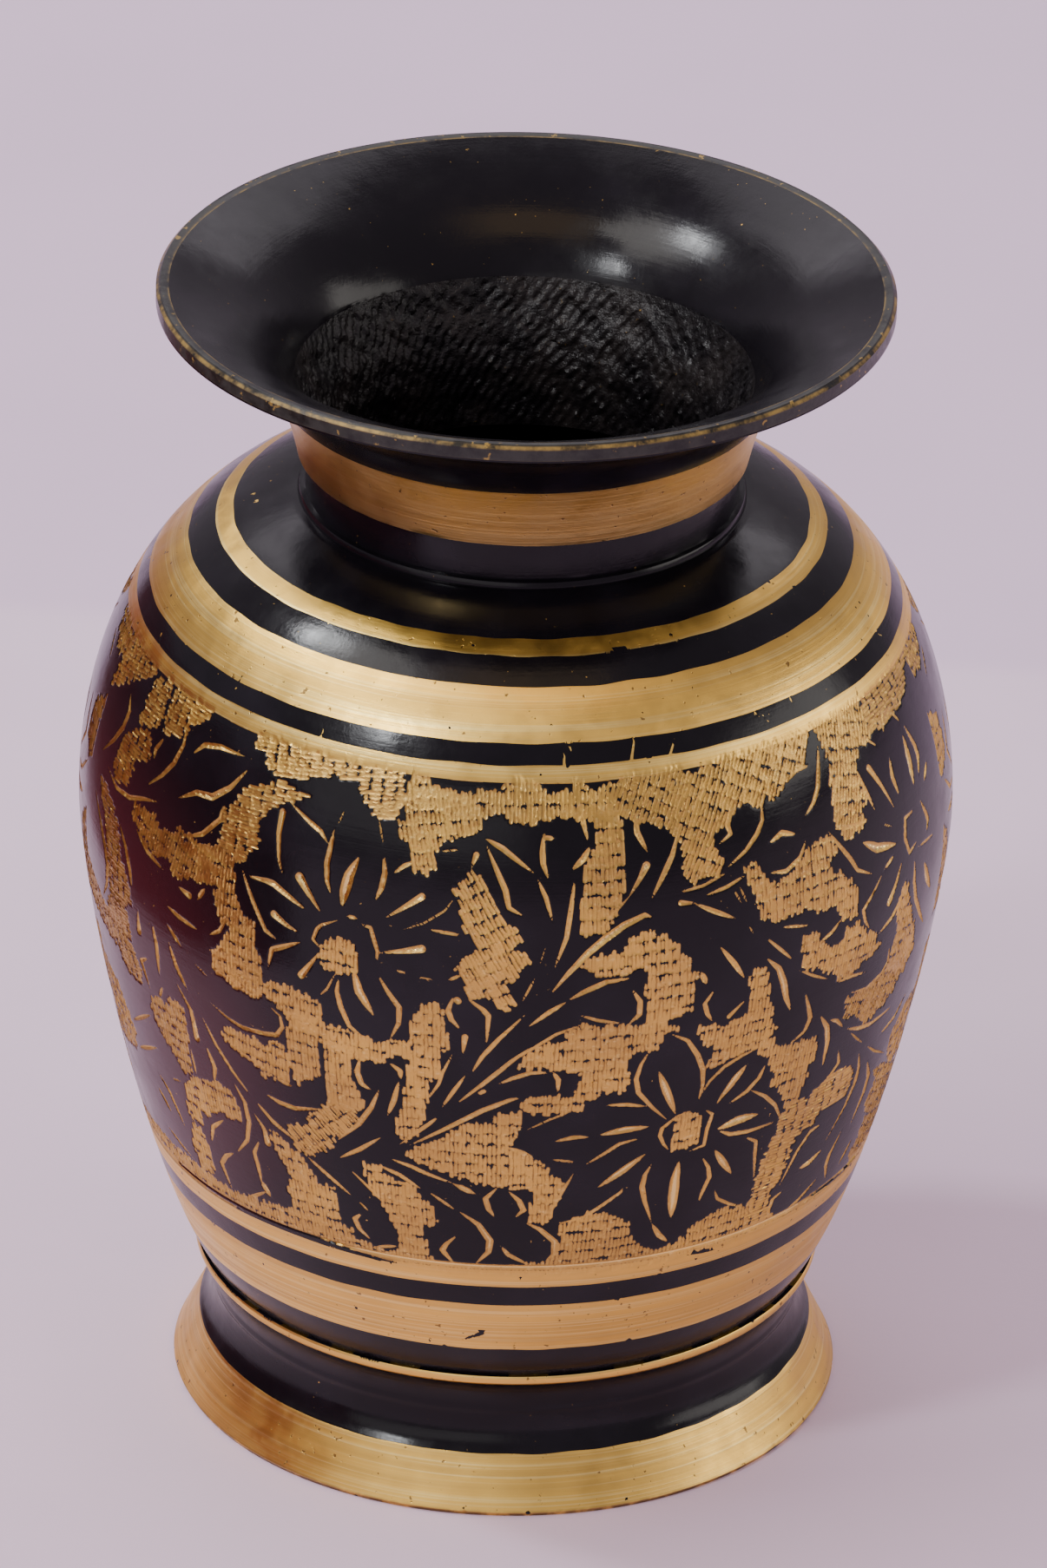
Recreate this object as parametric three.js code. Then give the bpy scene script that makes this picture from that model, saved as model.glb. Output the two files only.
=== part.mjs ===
import * as THREE from 'three';

// A cast brass flower vase with a trumpet mouth. Millimetres, +Z up, origin at the centre of the
// plane that the foot stands on. Four castings, turned on a lathe, are lapped into each other and
// brazed, so every piece is a ring or a bowl about +Z.

const point = (radius, height) => new THREE.Vector2(radius, height);

// Driving dimensions. A curve's two pulls are the control points between its ends.
const SEGMENTS = 48;
const WALL = 2.4;
const BELLY = point(63.9, 95.3);
const SHOULDER_PULLS = [point(BELLY.x, 109.7), point(58.8, 136.8)];
const BOWL_PULLS = [point(54.6, 37.4), point(BELLY.x, 81.3)];

const RIM = point(53.2, 176);
const RIM_WIDTH = 1.2;
const LIP_DEPTH = 2.6;
const LIP_CHAMFER = 0.6;
const FLARE_PULLS = [point(38.2, 166.2), point(45.4, 170.6)];
const MOUTH_PULLS = [point(44.6, 173.2), point(37.4, 169.6)];

const SEAT = point(33.4, 143.3);
const COLLAR_RADIUS = 32.5;
const COLLAR_DEPTH = 0.9;
const NECK_RADIUS = 31.4;
const NECK_OPENING = 30.5;
const NECK_SPIGOT_DEPTH = 3.4;
const BAND_UNDERCUT = 0.6;
const BAND_LOW = point(32.7, 150.3);
const BAND_WAIST = point(33.7, 155);
const BAND_TOP = point(35.6, 160);
const THROAT = point(33.4, 162.3);
const BORE_TOP = point(29.6, 153.5);
const BORE = point(28.6, 149);

const BODY_FOOT = point(46.1, 22.9);
const BODY_FOOT_STEP = 0.6;
const FLOOR_THICKNESS = 2.8;
const FLOOR_EDGE = { width: 3, rise: 1 };

const FOOT_SEAT_HEIGHT = 21.8;
const FOOT_BORE = point(41.3, 14);
const FOOT_SPIGOT_DEPTH = 3.2;
const BEAD_TOP_RADIUS = 46.1;
const BEAD = point(46.3, 20.9);
const BEAD_LOW = point(45.4, 20);
const COVE_PULLS = [point(44, 12), point(43.6, 16.5)];
const COVE_LOW = point(45.5, 8.4);
const SKIRT = point(49.3, 0.7);
const SKIRT_CHAMFER = 0.4;
const REST_INNER_RADIUS = 46.2;
const FOOT_INSIDE = point(43, 7.6);

const BRAZE_GAP = 0.3;
const BRAZE_FILLET = 1.2;
const LAP_HEIGHT = 3.2;

// Sizes where two pieces meet.
const LAP_RADIUS = BELLY.x - WALL / 2 - BRAZE_GAP;
const LAP_TOP = BELLY.y + LAP_HEIGHT;
const SPIGOT_RADIUS = NECK_OPENING - BRAZE_GAP;
const NECK_LAND_HEIGHT = SEAT.y - WALL + 0.1;
const BOSS_RADIUS = FOOT_BORE.x - BRAZE_GAP;
const FLOOR_LOW = FOOT_SEAT_HEIGHT - FOOT_SPIGOT_DEPTH;

const BODY_STEPS = 12;
const MOUTH_STEPS = 6;
const COVE_STEPS = 5;

// Points along a cubic curve from one end to the other.
function curve(start, [pullStart, pullEnd], end, steps) {
  return new THREE.CubicBezierCurve(start, pullStart, pullEnd, end).getPoints(steps);
}

// The same run of points moved to the left of its direction of travel, which is towards the axis
// on an outline that climbs the outside.
function offset(points, distance) {
  return points.map((here, index) => {
    const before = points[Math.max(index - 1, 0)];
    const after = points[Math.min(index + 1, points.length - 1)];
    const along = after.clone().sub(before).normalize();
    return point(here.x - along.y * distance, here.y + along.x * distance);
  });
}

// A piece turned about +Z from an outline of radius and height. The outline climbs the outside,
// comes back down the inside and closes on itself, unless it starts and ends on the axis.
function turned(name, outline, material) {
  const first = outline[0];
  const onAxis = first.x === 0;
  const closed = onAxis ? outline : [...outline, first.clone()];
  const geometry = new THREE.LatheGeometry(closed, SEGMENTS);
  geometry.rotateX(Math.PI / 2);
  const mesh = new THREE.Mesh(geometry, material);
  mesh.name = name;
  return mesh;
}

// The flared mouth and the neck below it: one casting, with a collar that sits on the shoulder
// and a spigot that goes down inside it.
function mouthFlare(material) {
  const spigotLow = SEAT.y - NECK_SPIGOT_DEPTH;
  const collarTop = SEAT.y + COLLAR_DEPTH;
  const lipLow = point(RIM.x, RIM.y - LIP_DEPTH);
  const rimInside = point(RIM.x - RIM_WIDTH, RIM.y);
  return turned('mouth_flare', [
    point(BORE.x, spigotLow),
    point(SPIGOT_RADIUS, spigotLow),
    point(SPIGOT_RADIUS, SEAT.y),
    point(COLLAR_RADIUS, SEAT.y),
    point(COLLAR_RADIUS, collarTop),
    point(NECK_RADIUS, collarTop),
    point(NECK_RADIUS, BAND_LOW.y - BAND_UNDERCUT),
    BAND_LOW,
    BAND_WAIST,
    ...curve(BAND_TOP, FLARE_PULLS, lipLow, MOUTH_STEPS),
    point(RIM.x, RIM.y - LIP_CHAMFER),
    point(RIM.x - LIP_CHAMFER, RIM.y),
    ...curve(rimInside, MOUTH_PULLS, THROAT, MOUTH_STEPS),
    BORE_TOP,
    BORE,
  ], material);
}

// The top half of the body, from the neck's seat to the belly, where it laps over the bottom half.
function upperBody(material) {
  const outside = curve(BELLY, SHOULDER_PULLS, SEAT, BODY_STEPS);
  const inside = offset(outside, WALL).slice(1, -1).reverse();
  return turned('upper_body', [
    point(LAP_RADIUS + BRAZE_GAP, BELLY.y),
    ...outside,
    point(NECK_OPENING, SEAT.y),
    point(NECK_OPENING, NECK_LAND_HEIGHT),
    point(COLLAR_RADIUS, NECK_LAND_HEIGHT),
    ...inside.filter((here) => here.y > LAP_TOP),
    point(BELLY.x - WALL, LAP_TOP),
    point(LAP_RADIUS + BRAZE_GAP, LAP_TOP),
  ], material);
}

// The bottom half of the body: a bowl with its own floor, a tongue that goes up inside the top
// half, and a round boss that goes down into the foot.
function lowerBody(material) {
  const outside = curve(BODY_FOOT, BOWL_PULLS, BELLY, BODY_STEPS);
  const inside = offset(outside, WALL).slice(1, -1).reverse();
  const floorTop = FLOOR_LOW + FLOOR_THICKNESS;
  return turned('lower_body', [
    point(0, FLOOR_LOW),
    point(BOSS_RADIUS, FLOOR_LOW),
    point(BOSS_RADIUS, FOOT_SEAT_HEIGHT),
    point(BODY_FOOT.x - BODY_FOOT_STEP, FOOT_SEAT_HEIGHT),
    ...outside,
    point(LAP_RADIUS, BELLY.y),
    point(LAP_RADIUS, LAP_TOP),
    point(BELLY.x - WALL, LAP_TOP),
    ...inside,
    point(BOSS_RADIUS, floorTop + FLOOR_EDGE.rise),
    point(BOSS_RADIUS - FLOOR_EDGE.width, floorTop),
    point(0, floorTop),
  ], material);
}

// The foot: an open ring with a bead at the top, a hollow cove and a skirt that spreads to the
// narrow ring that it stands on.
function footRing(material) {
  return turned('foot_ring', [
    point(REST_INNER_RADIUS, 0),
    point(SKIRT.x - SKIRT_CHAMFER, 0),
    SKIRT,
    ...curve(COVE_LOW, COVE_PULLS, BEAD_LOW, COVE_STEPS),
    BEAD,
    point(BEAD_TOP_RADIUS, FOOT_SEAT_HEIGHT),
    point(FOOT_BORE.x, FOOT_SEAT_HEIGHT),
    FOOT_BORE,
    FOOT_INSIDE,
  ], material);
}

// Filler metal drawn into the neck joint, with a fillet under the shoulder.
function neckBraze(material) {
  return turned('neck_braze', [
    point(SPIGOT_RADIUS, NECK_LAND_HEIGHT - BRAZE_FILLET + BRAZE_GAP),
    point(NECK_OPENING + BRAZE_FILLET, NECK_LAND_HEIGHT),
    point(NECK_OPENING, NECK_LAND_HEIGHT),
    point(NECK_OPENING, SEAT.y),
    point(SPIGOT_RADIUS, SEAT.y),
  ], material);
}

// Filler metal between the tongue and the lap of the belly seam.
function bellyBraze(material) {
  return turned('belly_braze', [
    point(LAP_RADIUS, BELLY.y),
    point(LAP_RADIUS + BRAZE_GAP, BELLY.y),
    point(LAP_RADIUS + BRAZE_GAP, LAP_TOP),
    point(LAP_RADIUS, LAP_TOP),
  ], material);
}

// Filler metal round the boss in the foot, with a fillet in the corner under the floor.
function footBraze(material) {
  return turned('foot_braze', [
    point(BOSS_RADIUS - BRAZE_FILLET, FLOOR_LOW),
    point(FOOT_BORE.x, FLOOR_LOW - BRAZE_FILLET),
    point(FOOT_BORE.x, FOOT_SEAT_HEIGHT),
    point(BOSS_RADIUS, FOOT_SEAT_HEIGHT),
    point(BOSS_RADIUS, FLOOR_LOW),
  ], material);
}

const lacquer = () => new THREE.MeshStandardMaterial({
  color: 0x15131a, roughness: 0.25, metalness: 0.2,
});
const brass = () => new THREE.MeshStandardMaterial({
  color: 0xc49a5e, roughness: 0.4, metalness: 1,
});
const filler = () => new THREE.MeshStandardMaterial({
  color: 0xd8c27a, roughness: 0.5, metalness: 1,
});

const vase = new THREE.Group();
vase.name = 'flower_vase';
vase.add(
  mouthFlare(lacquer()),
  upperBody(brass()),
  lowerBody(brass()),
  footRing(lacquer()),
  neckBraze(filler()),
  bellyBraze(filler()),
  footBraze(filler()),
);

export default vase;
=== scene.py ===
"""Looks of the brass flower vase: four turned castings with black lacquer, turned brass bands and a
hand-chiselled field of flowers. Shapes are in millimetres until turned_mesh() makes them metres;
materials and the stage are in metres. Angles round the vase are in degrees from the front, positive
to the right."""

import math

import bpy
import numpy as np
from mathutils import Matrix, Vector


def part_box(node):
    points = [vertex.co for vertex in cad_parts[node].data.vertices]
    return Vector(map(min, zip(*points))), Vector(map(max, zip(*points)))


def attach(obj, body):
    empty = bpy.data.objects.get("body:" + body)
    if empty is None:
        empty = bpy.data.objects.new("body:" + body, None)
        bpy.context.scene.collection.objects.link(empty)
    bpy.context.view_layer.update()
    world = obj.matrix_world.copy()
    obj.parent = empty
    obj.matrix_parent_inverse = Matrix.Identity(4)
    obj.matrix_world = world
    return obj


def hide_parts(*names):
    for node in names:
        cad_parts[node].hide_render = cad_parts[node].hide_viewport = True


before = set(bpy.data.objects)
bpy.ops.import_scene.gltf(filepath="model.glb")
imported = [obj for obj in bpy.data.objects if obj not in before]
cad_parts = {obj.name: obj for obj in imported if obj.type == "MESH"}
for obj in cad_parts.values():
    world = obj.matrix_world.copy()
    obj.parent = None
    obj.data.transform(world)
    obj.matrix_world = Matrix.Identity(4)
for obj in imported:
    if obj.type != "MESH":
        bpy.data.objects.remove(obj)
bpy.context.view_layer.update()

MM = 0.001
random = np.random.default_rng(27)


def in_mm(node):
    """Lowest and highest corner of a CAD node, in millimetres."""
    low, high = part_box(node)
    return low / MM, high / MM


# Sizes read from the frame, apart from the seat's radius. Points of an outline, here and below, are
# a radius and a height.
MOUTH_HIGH = in_mm("mouth_flare")[1]
UPPER_LOW, UPPER_HIGH = in_mm("upper_body")
LOWER_LOW, LOWER_HIGH = in_mm("lower_body")
RIM = (MOUTH_HIGH.x, MOUTH_HIGH.z)
BELLY = (UPPER_HIGH.x, UPPER_LOW.z)
SEAT = (33.4, UPPER_HIGH.z)
LAP_TOP = LOWER_HIGH.z
FLOOR_LOW = LOWER_LOW.z
FOOT_SEAT = in_mm("foot_ring")[1].z

# The body. A curve's two pulls are the control points between its ends.
WALL = 2.4
SHOULDER_PULLS = ((BELLY[0], 109.7), (58.8, 136.8))
BOWL_PULLS = ((54.6, 37.4), (BELLY[0], 81.3))
BODY_FOOT = (46.1, 22.9)
BODY_FOOT_STEP = 0.6
FLOOR_TOP = FLOOR_LOW + 2.8
FLOOR_EDGE_WIDTH = 3.0
FLOOR_EDGE_RISE = 1.0

# The mouth and neck.
RIM_WIDTH = 1.2
LIP_DEPTH = 2.6
LIP_CHAMFER = 0.6
FLARE_PULLS = ((38.2, 166.2), (45.4, 170.6))
MOUTH_PULLS = ((44.6, 173.2), (37.4, 169.6))
COLLAR_RADIUS = 32.5
COLLAR_HEIGHT = 0.9
COLLAR_CHAMFER = 0.3
NECK_RADIUS = 31.4
NECK_OPENING = 30.5
BAND_LOW = (32.7, 150.3)
BAND_PULLS = ((33.4, 153.5), (34.2, 156.5))
BAND_TOP = (35.6, 160)
BAND_UNDERCUT = 0.6
THROAT = (33.4, 162.3)
BORE_TOP = (29.6, 153.5)
BORE = (28.6, 149)
SPIGOT_LOW = SEAT[1] - 3.4

# The foot.
FOOT_BORE = (41.3, 14)
BEAD_TOP = (46.1, FOOT_SEAT)
BEAD_PULLS = ((46.4, 20.4), (46.4, 21.4))
BEAD_LOW = (45.4, 20)
COVE_PULLS = ((42.7, 11), (43.1, 16.5))
COVE_LOW = (45.5, 8.4)
COVE_RIDGE_HEIGHT = 14.8
COVE_RIDGE_SIZE = 0.22
COVE_RIDGE_WIDTH = 0.45
SKIRT = (49.3, 0.7)
SKIRT_CHAMFER = 0.4
REST_INNER_RADIUS = 46.2
FOOT_INSIDE = (43, 7.6)

# The brazed joints, and the heights between which the inside of each half of the body is as cast.
BRAZE_GAP = 0.3
LAP_RADIUS = BELLY[0] - WALL / 2 - BRAZE_GAP
SPIGOT_RADIUS = NECK_OPENING - BRAZE_GAP
NECK_LAND = SEAT[1] - WALL + 0.1
BOSS_RADIUS = FOOT_BORE[0] - BRAZE_GAP
UPPER_INSIDE = (LAP_TOP + 0.3, NECK_LAND - 0.5)
LOWER_INSIDE = (FLOOR_TOP + 2, BELLY[1] - 0.5)

# The cast skin: how rough it is, the size and share of each set of waves in it, and how far from
# its ends it is smooth.
BODY_SKIN = 0.12
THROAT_SKIN = 0.22
SKIN_WAVES = ((5, 0.45), (2.2, 0.3), (1.4, 0.4))
SKIN_FADE = 1.5
# Waves start at a random phase from 0 to this, in radians.
WAVE_PHASES = 6.28

# Heights of the engraved field, and of the bottom and top of each turned band of bare brass.
FIELD = (44.1, 125.0)
BODY_BANDS = ((27.8, 37.2), (40.9, 44.1), (124.8, 127.0), (129.6, 135.7), (138.6, 140.1))
NECK_BANDS = ((144.2, 144.6), (150.3, 160.0))
FOOT_BANDS = ((-1.0, 8.4), (20.3, 23.0))

# Mesh spacing along the outline, in millimetres, and columns round it.
FIELD_SPACING = 0.24
PLAIN_SPACING = 0.45
FLARE_SPACING = 0.6
MOUTH_SPACING = 0.7
LIP_SPACING = 0.3
BEAD_SPACING = 0.25
SPIGOT_SPACING = 1.2
FOOT_INSIDE_SPACING = 1.5
HIDDEN_SPACING = 3.0
JOINT_SPACING = 4.0
BODY_COLUMNS = 1680
RING_COLUMNS = 720
BODY_CURVE_STEPS = 1200
SHARP_ANGLE = 42

# The paint field: its value far from any brass, a radius inside every painted outline, and how far
# past a strip or a pit it is worked out.
SOLID_LACQUER = -4.0
LEAST_RADIUS = 30
STRIP_MARGIN = 2.5 * FIELD_SPACING
PIT_MARGIN = 2

# Finishes, in the order of each piece's material slots. PAINTED rows take lacquer or brass from
# the paint field, face by face.
LACQUER, TURNED, CHISELLED, CAST, LIP = range(5)
PAINTED = -1


# ---------------------------------------------------------------- outlines

def curve(start, pulls, end, steps=160):
    """Points along a cubic curve from one end to the other."""
    t = np.linspace(0, 1, steps)[:, None]
    start, first, second, end = (np.array(p, float) for p in (start, *pulls, end))
    return (1 - t) ** 3 * start + 3 * (1 - t) ** 2 * t * first + 3 * (1 - t) * t ** 2 * second + t ** 3 * end


def arc_length(points):
    """Distance along a run of points."""
    steps = np.hypot(*np.diff(points, axis=0).T)
    return np.concatenate([[0], np.cumsum(steps)])


def resample(points, spacing):
    """The same run of points at an even spacing, keeping both ends."""
    points = np.array(points, float)
    length = arc_length(points)
    count = max(int(round(length[-1] / spacing)), 1) + 1
    places = np.linspace(0, length[-1], count)
    return np.column_stack([np.interp(places, length, points[:, k]) for k in (0, 1)])


def corners(points, spacing):
    """Straight lines between corners, each one resampled so that every corner stays sharp."""
    lines = [resample(points[i:i + 2], spacing)[:-1] for i in range(len(points) - 1)]
    return np.vstack([*lines, [points[-1]]])


def inside_of(points, distance):
    """A run of points moved towards the axis, square to an outline that climbs the outside."""
    along = np.gradient(points, axis=0)
    along /= np.hypot(*along.T)[:, None]
    return points + distance * np.column_stack([-along[:, 1], along[:, 0]])


def between(points, low, high):
    """The points whose height is between two heights."""
    return points[(points[:, 1] > low) & (points[:, 1] < high)]


def split_spacing(points, low, high):
    """Resampled finely between two heights, and more coarsely elsewhere."""
    runs = []
    below = points[points[:, 1] <= low]
    within = points[(points[:, 1] >= low) & (points[:, 1] <= high)]
    above = points[points[:, 1] >= high]
    for part, spacing in ((below, PLAIN_SPACING), (within, FIELD_SPACING), (above, PLAIN_SPACING)):
        if len(part) > 1:
            runs.append(resample(part, spacing))
    joined = np.vstack(runs)
    apart = np.concatenate([[True], np.hypot(*np.diff(joined, axis=0).T) > 0.3 * FIELD_SPACING])
    return joined[apart]


# ---------------------------------------------------------------- the paint field

class Paint:
    """Brass and lacquer on an outline turned round the axis. cut is how far a point lies inside
    bare brass, in millimetres, and is negative on lacquer; depth is how far it has been cut in."""

    def __init__(self, outline, columns):
        self.radius = outline[:, 0]
        self.height = outline[:, 1]
        self.arc = arc_length(outline)
        self.angle = np.arange(columns) * 360 / columns
        self.cut = np.full((len(outline), columns), SOLID_LACQUER)
        self.depth = np.zeros((len(outline), columns))

    def window(self, angles, heights, reach):
        """Rows and columns within reach of a few points, with their places on the surface, which
        are measured round it from the middle of those points."""
        low, high = (np.interp(h, self.height, self.arc) for h in (min(heights), max(heights)))
        rows = np.arange(*np.searchsorted(self.arc, (low - reach, high + reach)))
        middle = (min(angles) + max(angles)) / 2
        margin = math.degrees(reach / LEAST_RADIUS)
        step = 360 / len(self.angle)
        columns = np.arange(math.floor((min(angles) - margin) / step),
                            math.ceil((max(angles) + margin) / step) + 1)
        across = self.radius[rows][:, None] * np.radians(columns * step - middle)[None, :]
        return np.ix_(rows, columns % len(self.angle)), across, self.arc[rows][:, None], middle

    def on_surface(self, angle, height, middle):
        """Distance round the surface from the middle angle, and along it, of one point."""
        across = np.interp(height, self.height, self.radius) * math.radians(angle - middle)
        return across, np.interp(height, self.height, self.arc)

    def place(self, across, along, middle):
        """Angle and height of a place on the surface, the other way round from on_surface."""
        height = np.interp(along, self.arc, self.height)
        radius = np.interp(height, self.height, self.radius)
        return middle + math.degrees(across / radius), height

    def strip(self, start, end, half_start, half_end):
        """How far each place lies inside a straight tapered strip between two points."""
        reach = max(half_start, half_end) + STRIP_MARGIN
        cells, across, along, middle = self.window((start[0], end[0]), (start[1], end[1]), reach)
        x0, y0 = self.on_surface(*start, middle)
        x1, y1 = self.on_surface(*end, middle)
        length = max((x1 - x0) ** 2 + (y1 - y0) ** 2, 1e-6)
        t = np.clip(((across - x0) * (x1 - x0) + (along - y0) * (y1 - y0)) / length, 0, 1)
        distance = np.hypot(across - x0 - t * (x1 - x0), along - y0 - t * (y1 - y0))
        return cells, half_start + (half_end - half_start) * t - distance

    def chisel(self, start, end, half_start, half_end, slope, floor=0.0):
        """One straight tapered cut through the lacquer."""
        cells, inside = self.strip(start, end, half_start, half_end)
        self.cut[cells] = np.maximum(self.cut[cells], inside)
        deep = np.where(inside > 0, floor + slope * inside, 0)
        self.depth[cells] = np.maximum(self.depth[cells], deep)

    def leave(self, start, end, half_start, half_end):
        """One straight tapered strip of lacquer left standing."""
        cells, inside = self.strip(start, end, half_start, half_end)
        self.cut[cells] = np.minimum(self.cut[cells], -inside)
        self.depth[cells] = np.where(inside > 0, 0, self.depth[cells])

    def band(self, low, high, wobble):
        """A strip of bare brass all the way round."""
        low, high = (np.interp(h, self.height, self.arc) for h in (low, high))
        inside = np.minimum(self.arc - low, high - self.arc)[:, None] + wobble
        self.cut = np.maximum(self.cut, inside)

    def pit(self, heights, radii):
        """A spot of lacquer left in a pit, at a random place and of a random size."""
        angle, height, radius = random.uniform(0, 360), random.uniform(*heights), random.uniform(*radii)
        cells, across, along, middle = self.window((angle,), (height,), radius + PIT_MARGIN)
        x, y = self.on_surface(angle, height, middle)
        self.cut[cells] = np.minimum(self.cut[cells], np.hypot(across - x, along - y) - radius)

    def wobble(self, size, reach):
        """How far the hand-held tool strayed from a band's edge, in waves of a size."""
        return reach * waves(self.angle[None, :], self.arc[:, None], size)


def waves(angle, along, size, radius=55, count=14):
    """Smooth random waves, about one unit high, that close on themselves round the axis."""
    total = 0
    for _ in range(count):
        turn = random.uniform(0, 2 * math.pi)
        round_axis = round(2 * math.pi * radius / size * math.cos(turn))
        up = 2 * math.pi / size * math.sin(turn)
        phase = random.uniform(0, WAVE_PHASES)
        total = total + np.cos(np.radians(angle) * round_axis + along * up + phase)
    return total * math.sqrt(2 / count)


# ---------------------------------------------------------------- the engraved design

# Each cut is its widest part in millimetres, then angle and height along it. Tapered cuts come to
# a point at both ends; wedges start narrow and end blunt.

FLOWER_LEFT = [
    (0.8, -32.1, 117.9, -28.5, 116, -26.8, 115.2, -25.6, 113.9),
    (0.9, -24.9, 115.9, -25.1, 113.5, -25.3, 111, -25, 108.5, -24.3, 106.8),
    (0.3, -23.8, 119, -24.5, 116.6),
    (1.7, -20.9, 112.8, -22, 110, -22.4, 107.5, -22.6, 105.4),
    (0.35, -18.8, 118.7, -17.7, 115.3),
    (0.9, -17.5, 113.8, -17.1, 111.3, -17.4, 109, -18.1, 107.2),
    (0.35, -7.6, 109, -8.8, 107, -11.5, 104.8, -14.3, 103.4),
    (0.6, -10.9, 104, -6, 103.5),
    (0.6, -21.9, 104, -20.3, 104),
    (0.7, -19.9, 103.2, -18.5, 103, -18, 101.4, -17.4, 99.5, -17.5, 97.5),
    (0.6, -22.9, 103.2, -25.3, 101.8, -25.9, 101, -26.4, 99.3, -25.3, 98.2),
    (0.8, -38, 106.6, -36, 102.8, -33.5, 98.5, -31.6, 97.5),
    (1.0, -37.2, 105.7, -34, 106, -32.7, 105.9, -30, 104.6, -27.7, 103.5),
    (0.9, -28.2, 98.3, -30.5, 96.9, -32.4, 95.8, -33, 92.6),
    (0.4, -23, 94.9, -24.3, 91.8, -25.4, 90.4),
    (0.9, -22.6, 94.2, -22.9, 91.8, -22.4, 89.3, -21.3, 86.3, -19.4, 84.9),
    (1.4, -20.6, 96, -19.8, 92.5, -17.9, 89),
    (0.9, -17.2, 95.8, -16, 93.5, -14.4, 91, -14.5, 88.3, -15.7, 85.4),
    (0.45, -14.9, 97, -13.3, 96.8),
    (0.35, -12.5, 96.4, -9.7, 96.3),
    (0.7, -15.9, 111.5, -14.5, 112.8, -13.2, 113.5),
]
FLOWER_LEFT_WEDGES = [
    (1.1, -31.6, 107.8, -32.4, 109.6, -33, 113.3, -33, 116.3),
    (1.1, -16.5, 104.9, -14.3, 106.7, -11.9, 108.7),
    (1.3, -17, 99.4, -14, 100.2, -11.6, 100.9),
    (1.2, -28.5, 99.7, -30.5, 100.4, -32.3, 101.4),
    (1.5, -25.6, 103.8, -27.5, 106.1, -29, 108),
    (1.2, -25.4, 97.4, -26.8, 95, -28, 93),
]
FLOWER_RIGHT = [
    (0.8, 18.6, 83.9, 17.5, 81.5, 17, 79, 17.5, 76.5, 19.8, 73.3, 22, 70.8),
    (0.9, 21.3, 86.2, 23.8, 84.5, 25.5, 81.5, 26.5, 78.8, 26.8, 76, 26.4, 72.6),
    (1.3, 20.1, 79.8, 21.5, 76, 23.2, 71.6),
    (0.7, 27, 74.6, 27.8, 76.3, 29.8, 78.3, 32.5, 79.5, 34.4, 79.9),
    (0.9, 36.6, 76.5, 35.8, 74.3, 34, 72.5, 31.4, 71.2),
    (1.3, 33.3, 77.5, 31.8, 75.5, 29.4, 71.8),
    (0.7, 34.7, 72.6, 37.5, 70.5, 39.8, 68, 41.7, 64.3),
    (0.8, 30.4, 66.6, 32.5, 65.3, 35.5, 64.8, 40.9, 64.8),
    (1.6, 30.2, 66.9, 33.5, 67.6, 36.8, 67.5),
    (0.7, 35.2, 63.9, 37.5, 62.3, 37.8, 59.8, 38.8, 54.4),
    (1.2, 30.4, 63, 32, 60.5, 34.1, 57.5),
    (0.6, 31.6, 55.2, 32.5, 53.3, 35, 51.5, 38, 49.9),
    (0.9, 20.6, 62.9, 19.8, 61, 19.6, 58.8, 20.3, 56, 21.9, 51.6),
    (0.9, 22, 51.3, 23.5, 48.8, 25.1, 47.2),
    (0.8, 28.5, 62.2, 29.8, 60, 30.3, 58, 29.5, 55.3, 29.2, 53.6),
    (1.7, 24.8, 62.4, 24.6, 59, 24.8, 54.8, 25, 51.9),
    (0.7, 16.8, 59.1, 16.4, 58.3, 14, 56.3, 11, 54, 7.3, 53.3),
    (1.3, 19.5, 65, 16.5, 62.5, 13, 59.7),
    (0.5, 9.4, 62.9, 8, 59.5, 5.5, 53.2),
    (0.7, 18.4, 68.1, 15.5, 67.5, 13.5, 66, 10.9, 64.2),
    (1.2, 19.5, 70, 16, 70, 12.6, 69.5),
    (0.8, 11.1, 69.3, 9, 69.4, 6.4, 68.8),
    (0.7, 18.9, 73.8, 16, 74.6, 12.9, 74.9),
    (0.4, 8.9, 74.4, 5.5, 72.8, 2.4, 70.9),
    (0.9, -0.2, 67.8, 3.4, 66.2),
    (0.5, 5.9, 65.5, 9.6, 64.8),
    (0.6, 1.4, 70.1, -0.6, 67.4),
    (0.7, 25.9, 71.7, 23.5, 71, 21.5, 69.3, 21.3, 68, 22, 66.3, 23, 64.9),
    (0.7, 27.8, 71.1, 29, 70, 28.5, 67.5, 28.4, 64.5, 25.9, 63.9),
]
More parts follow.
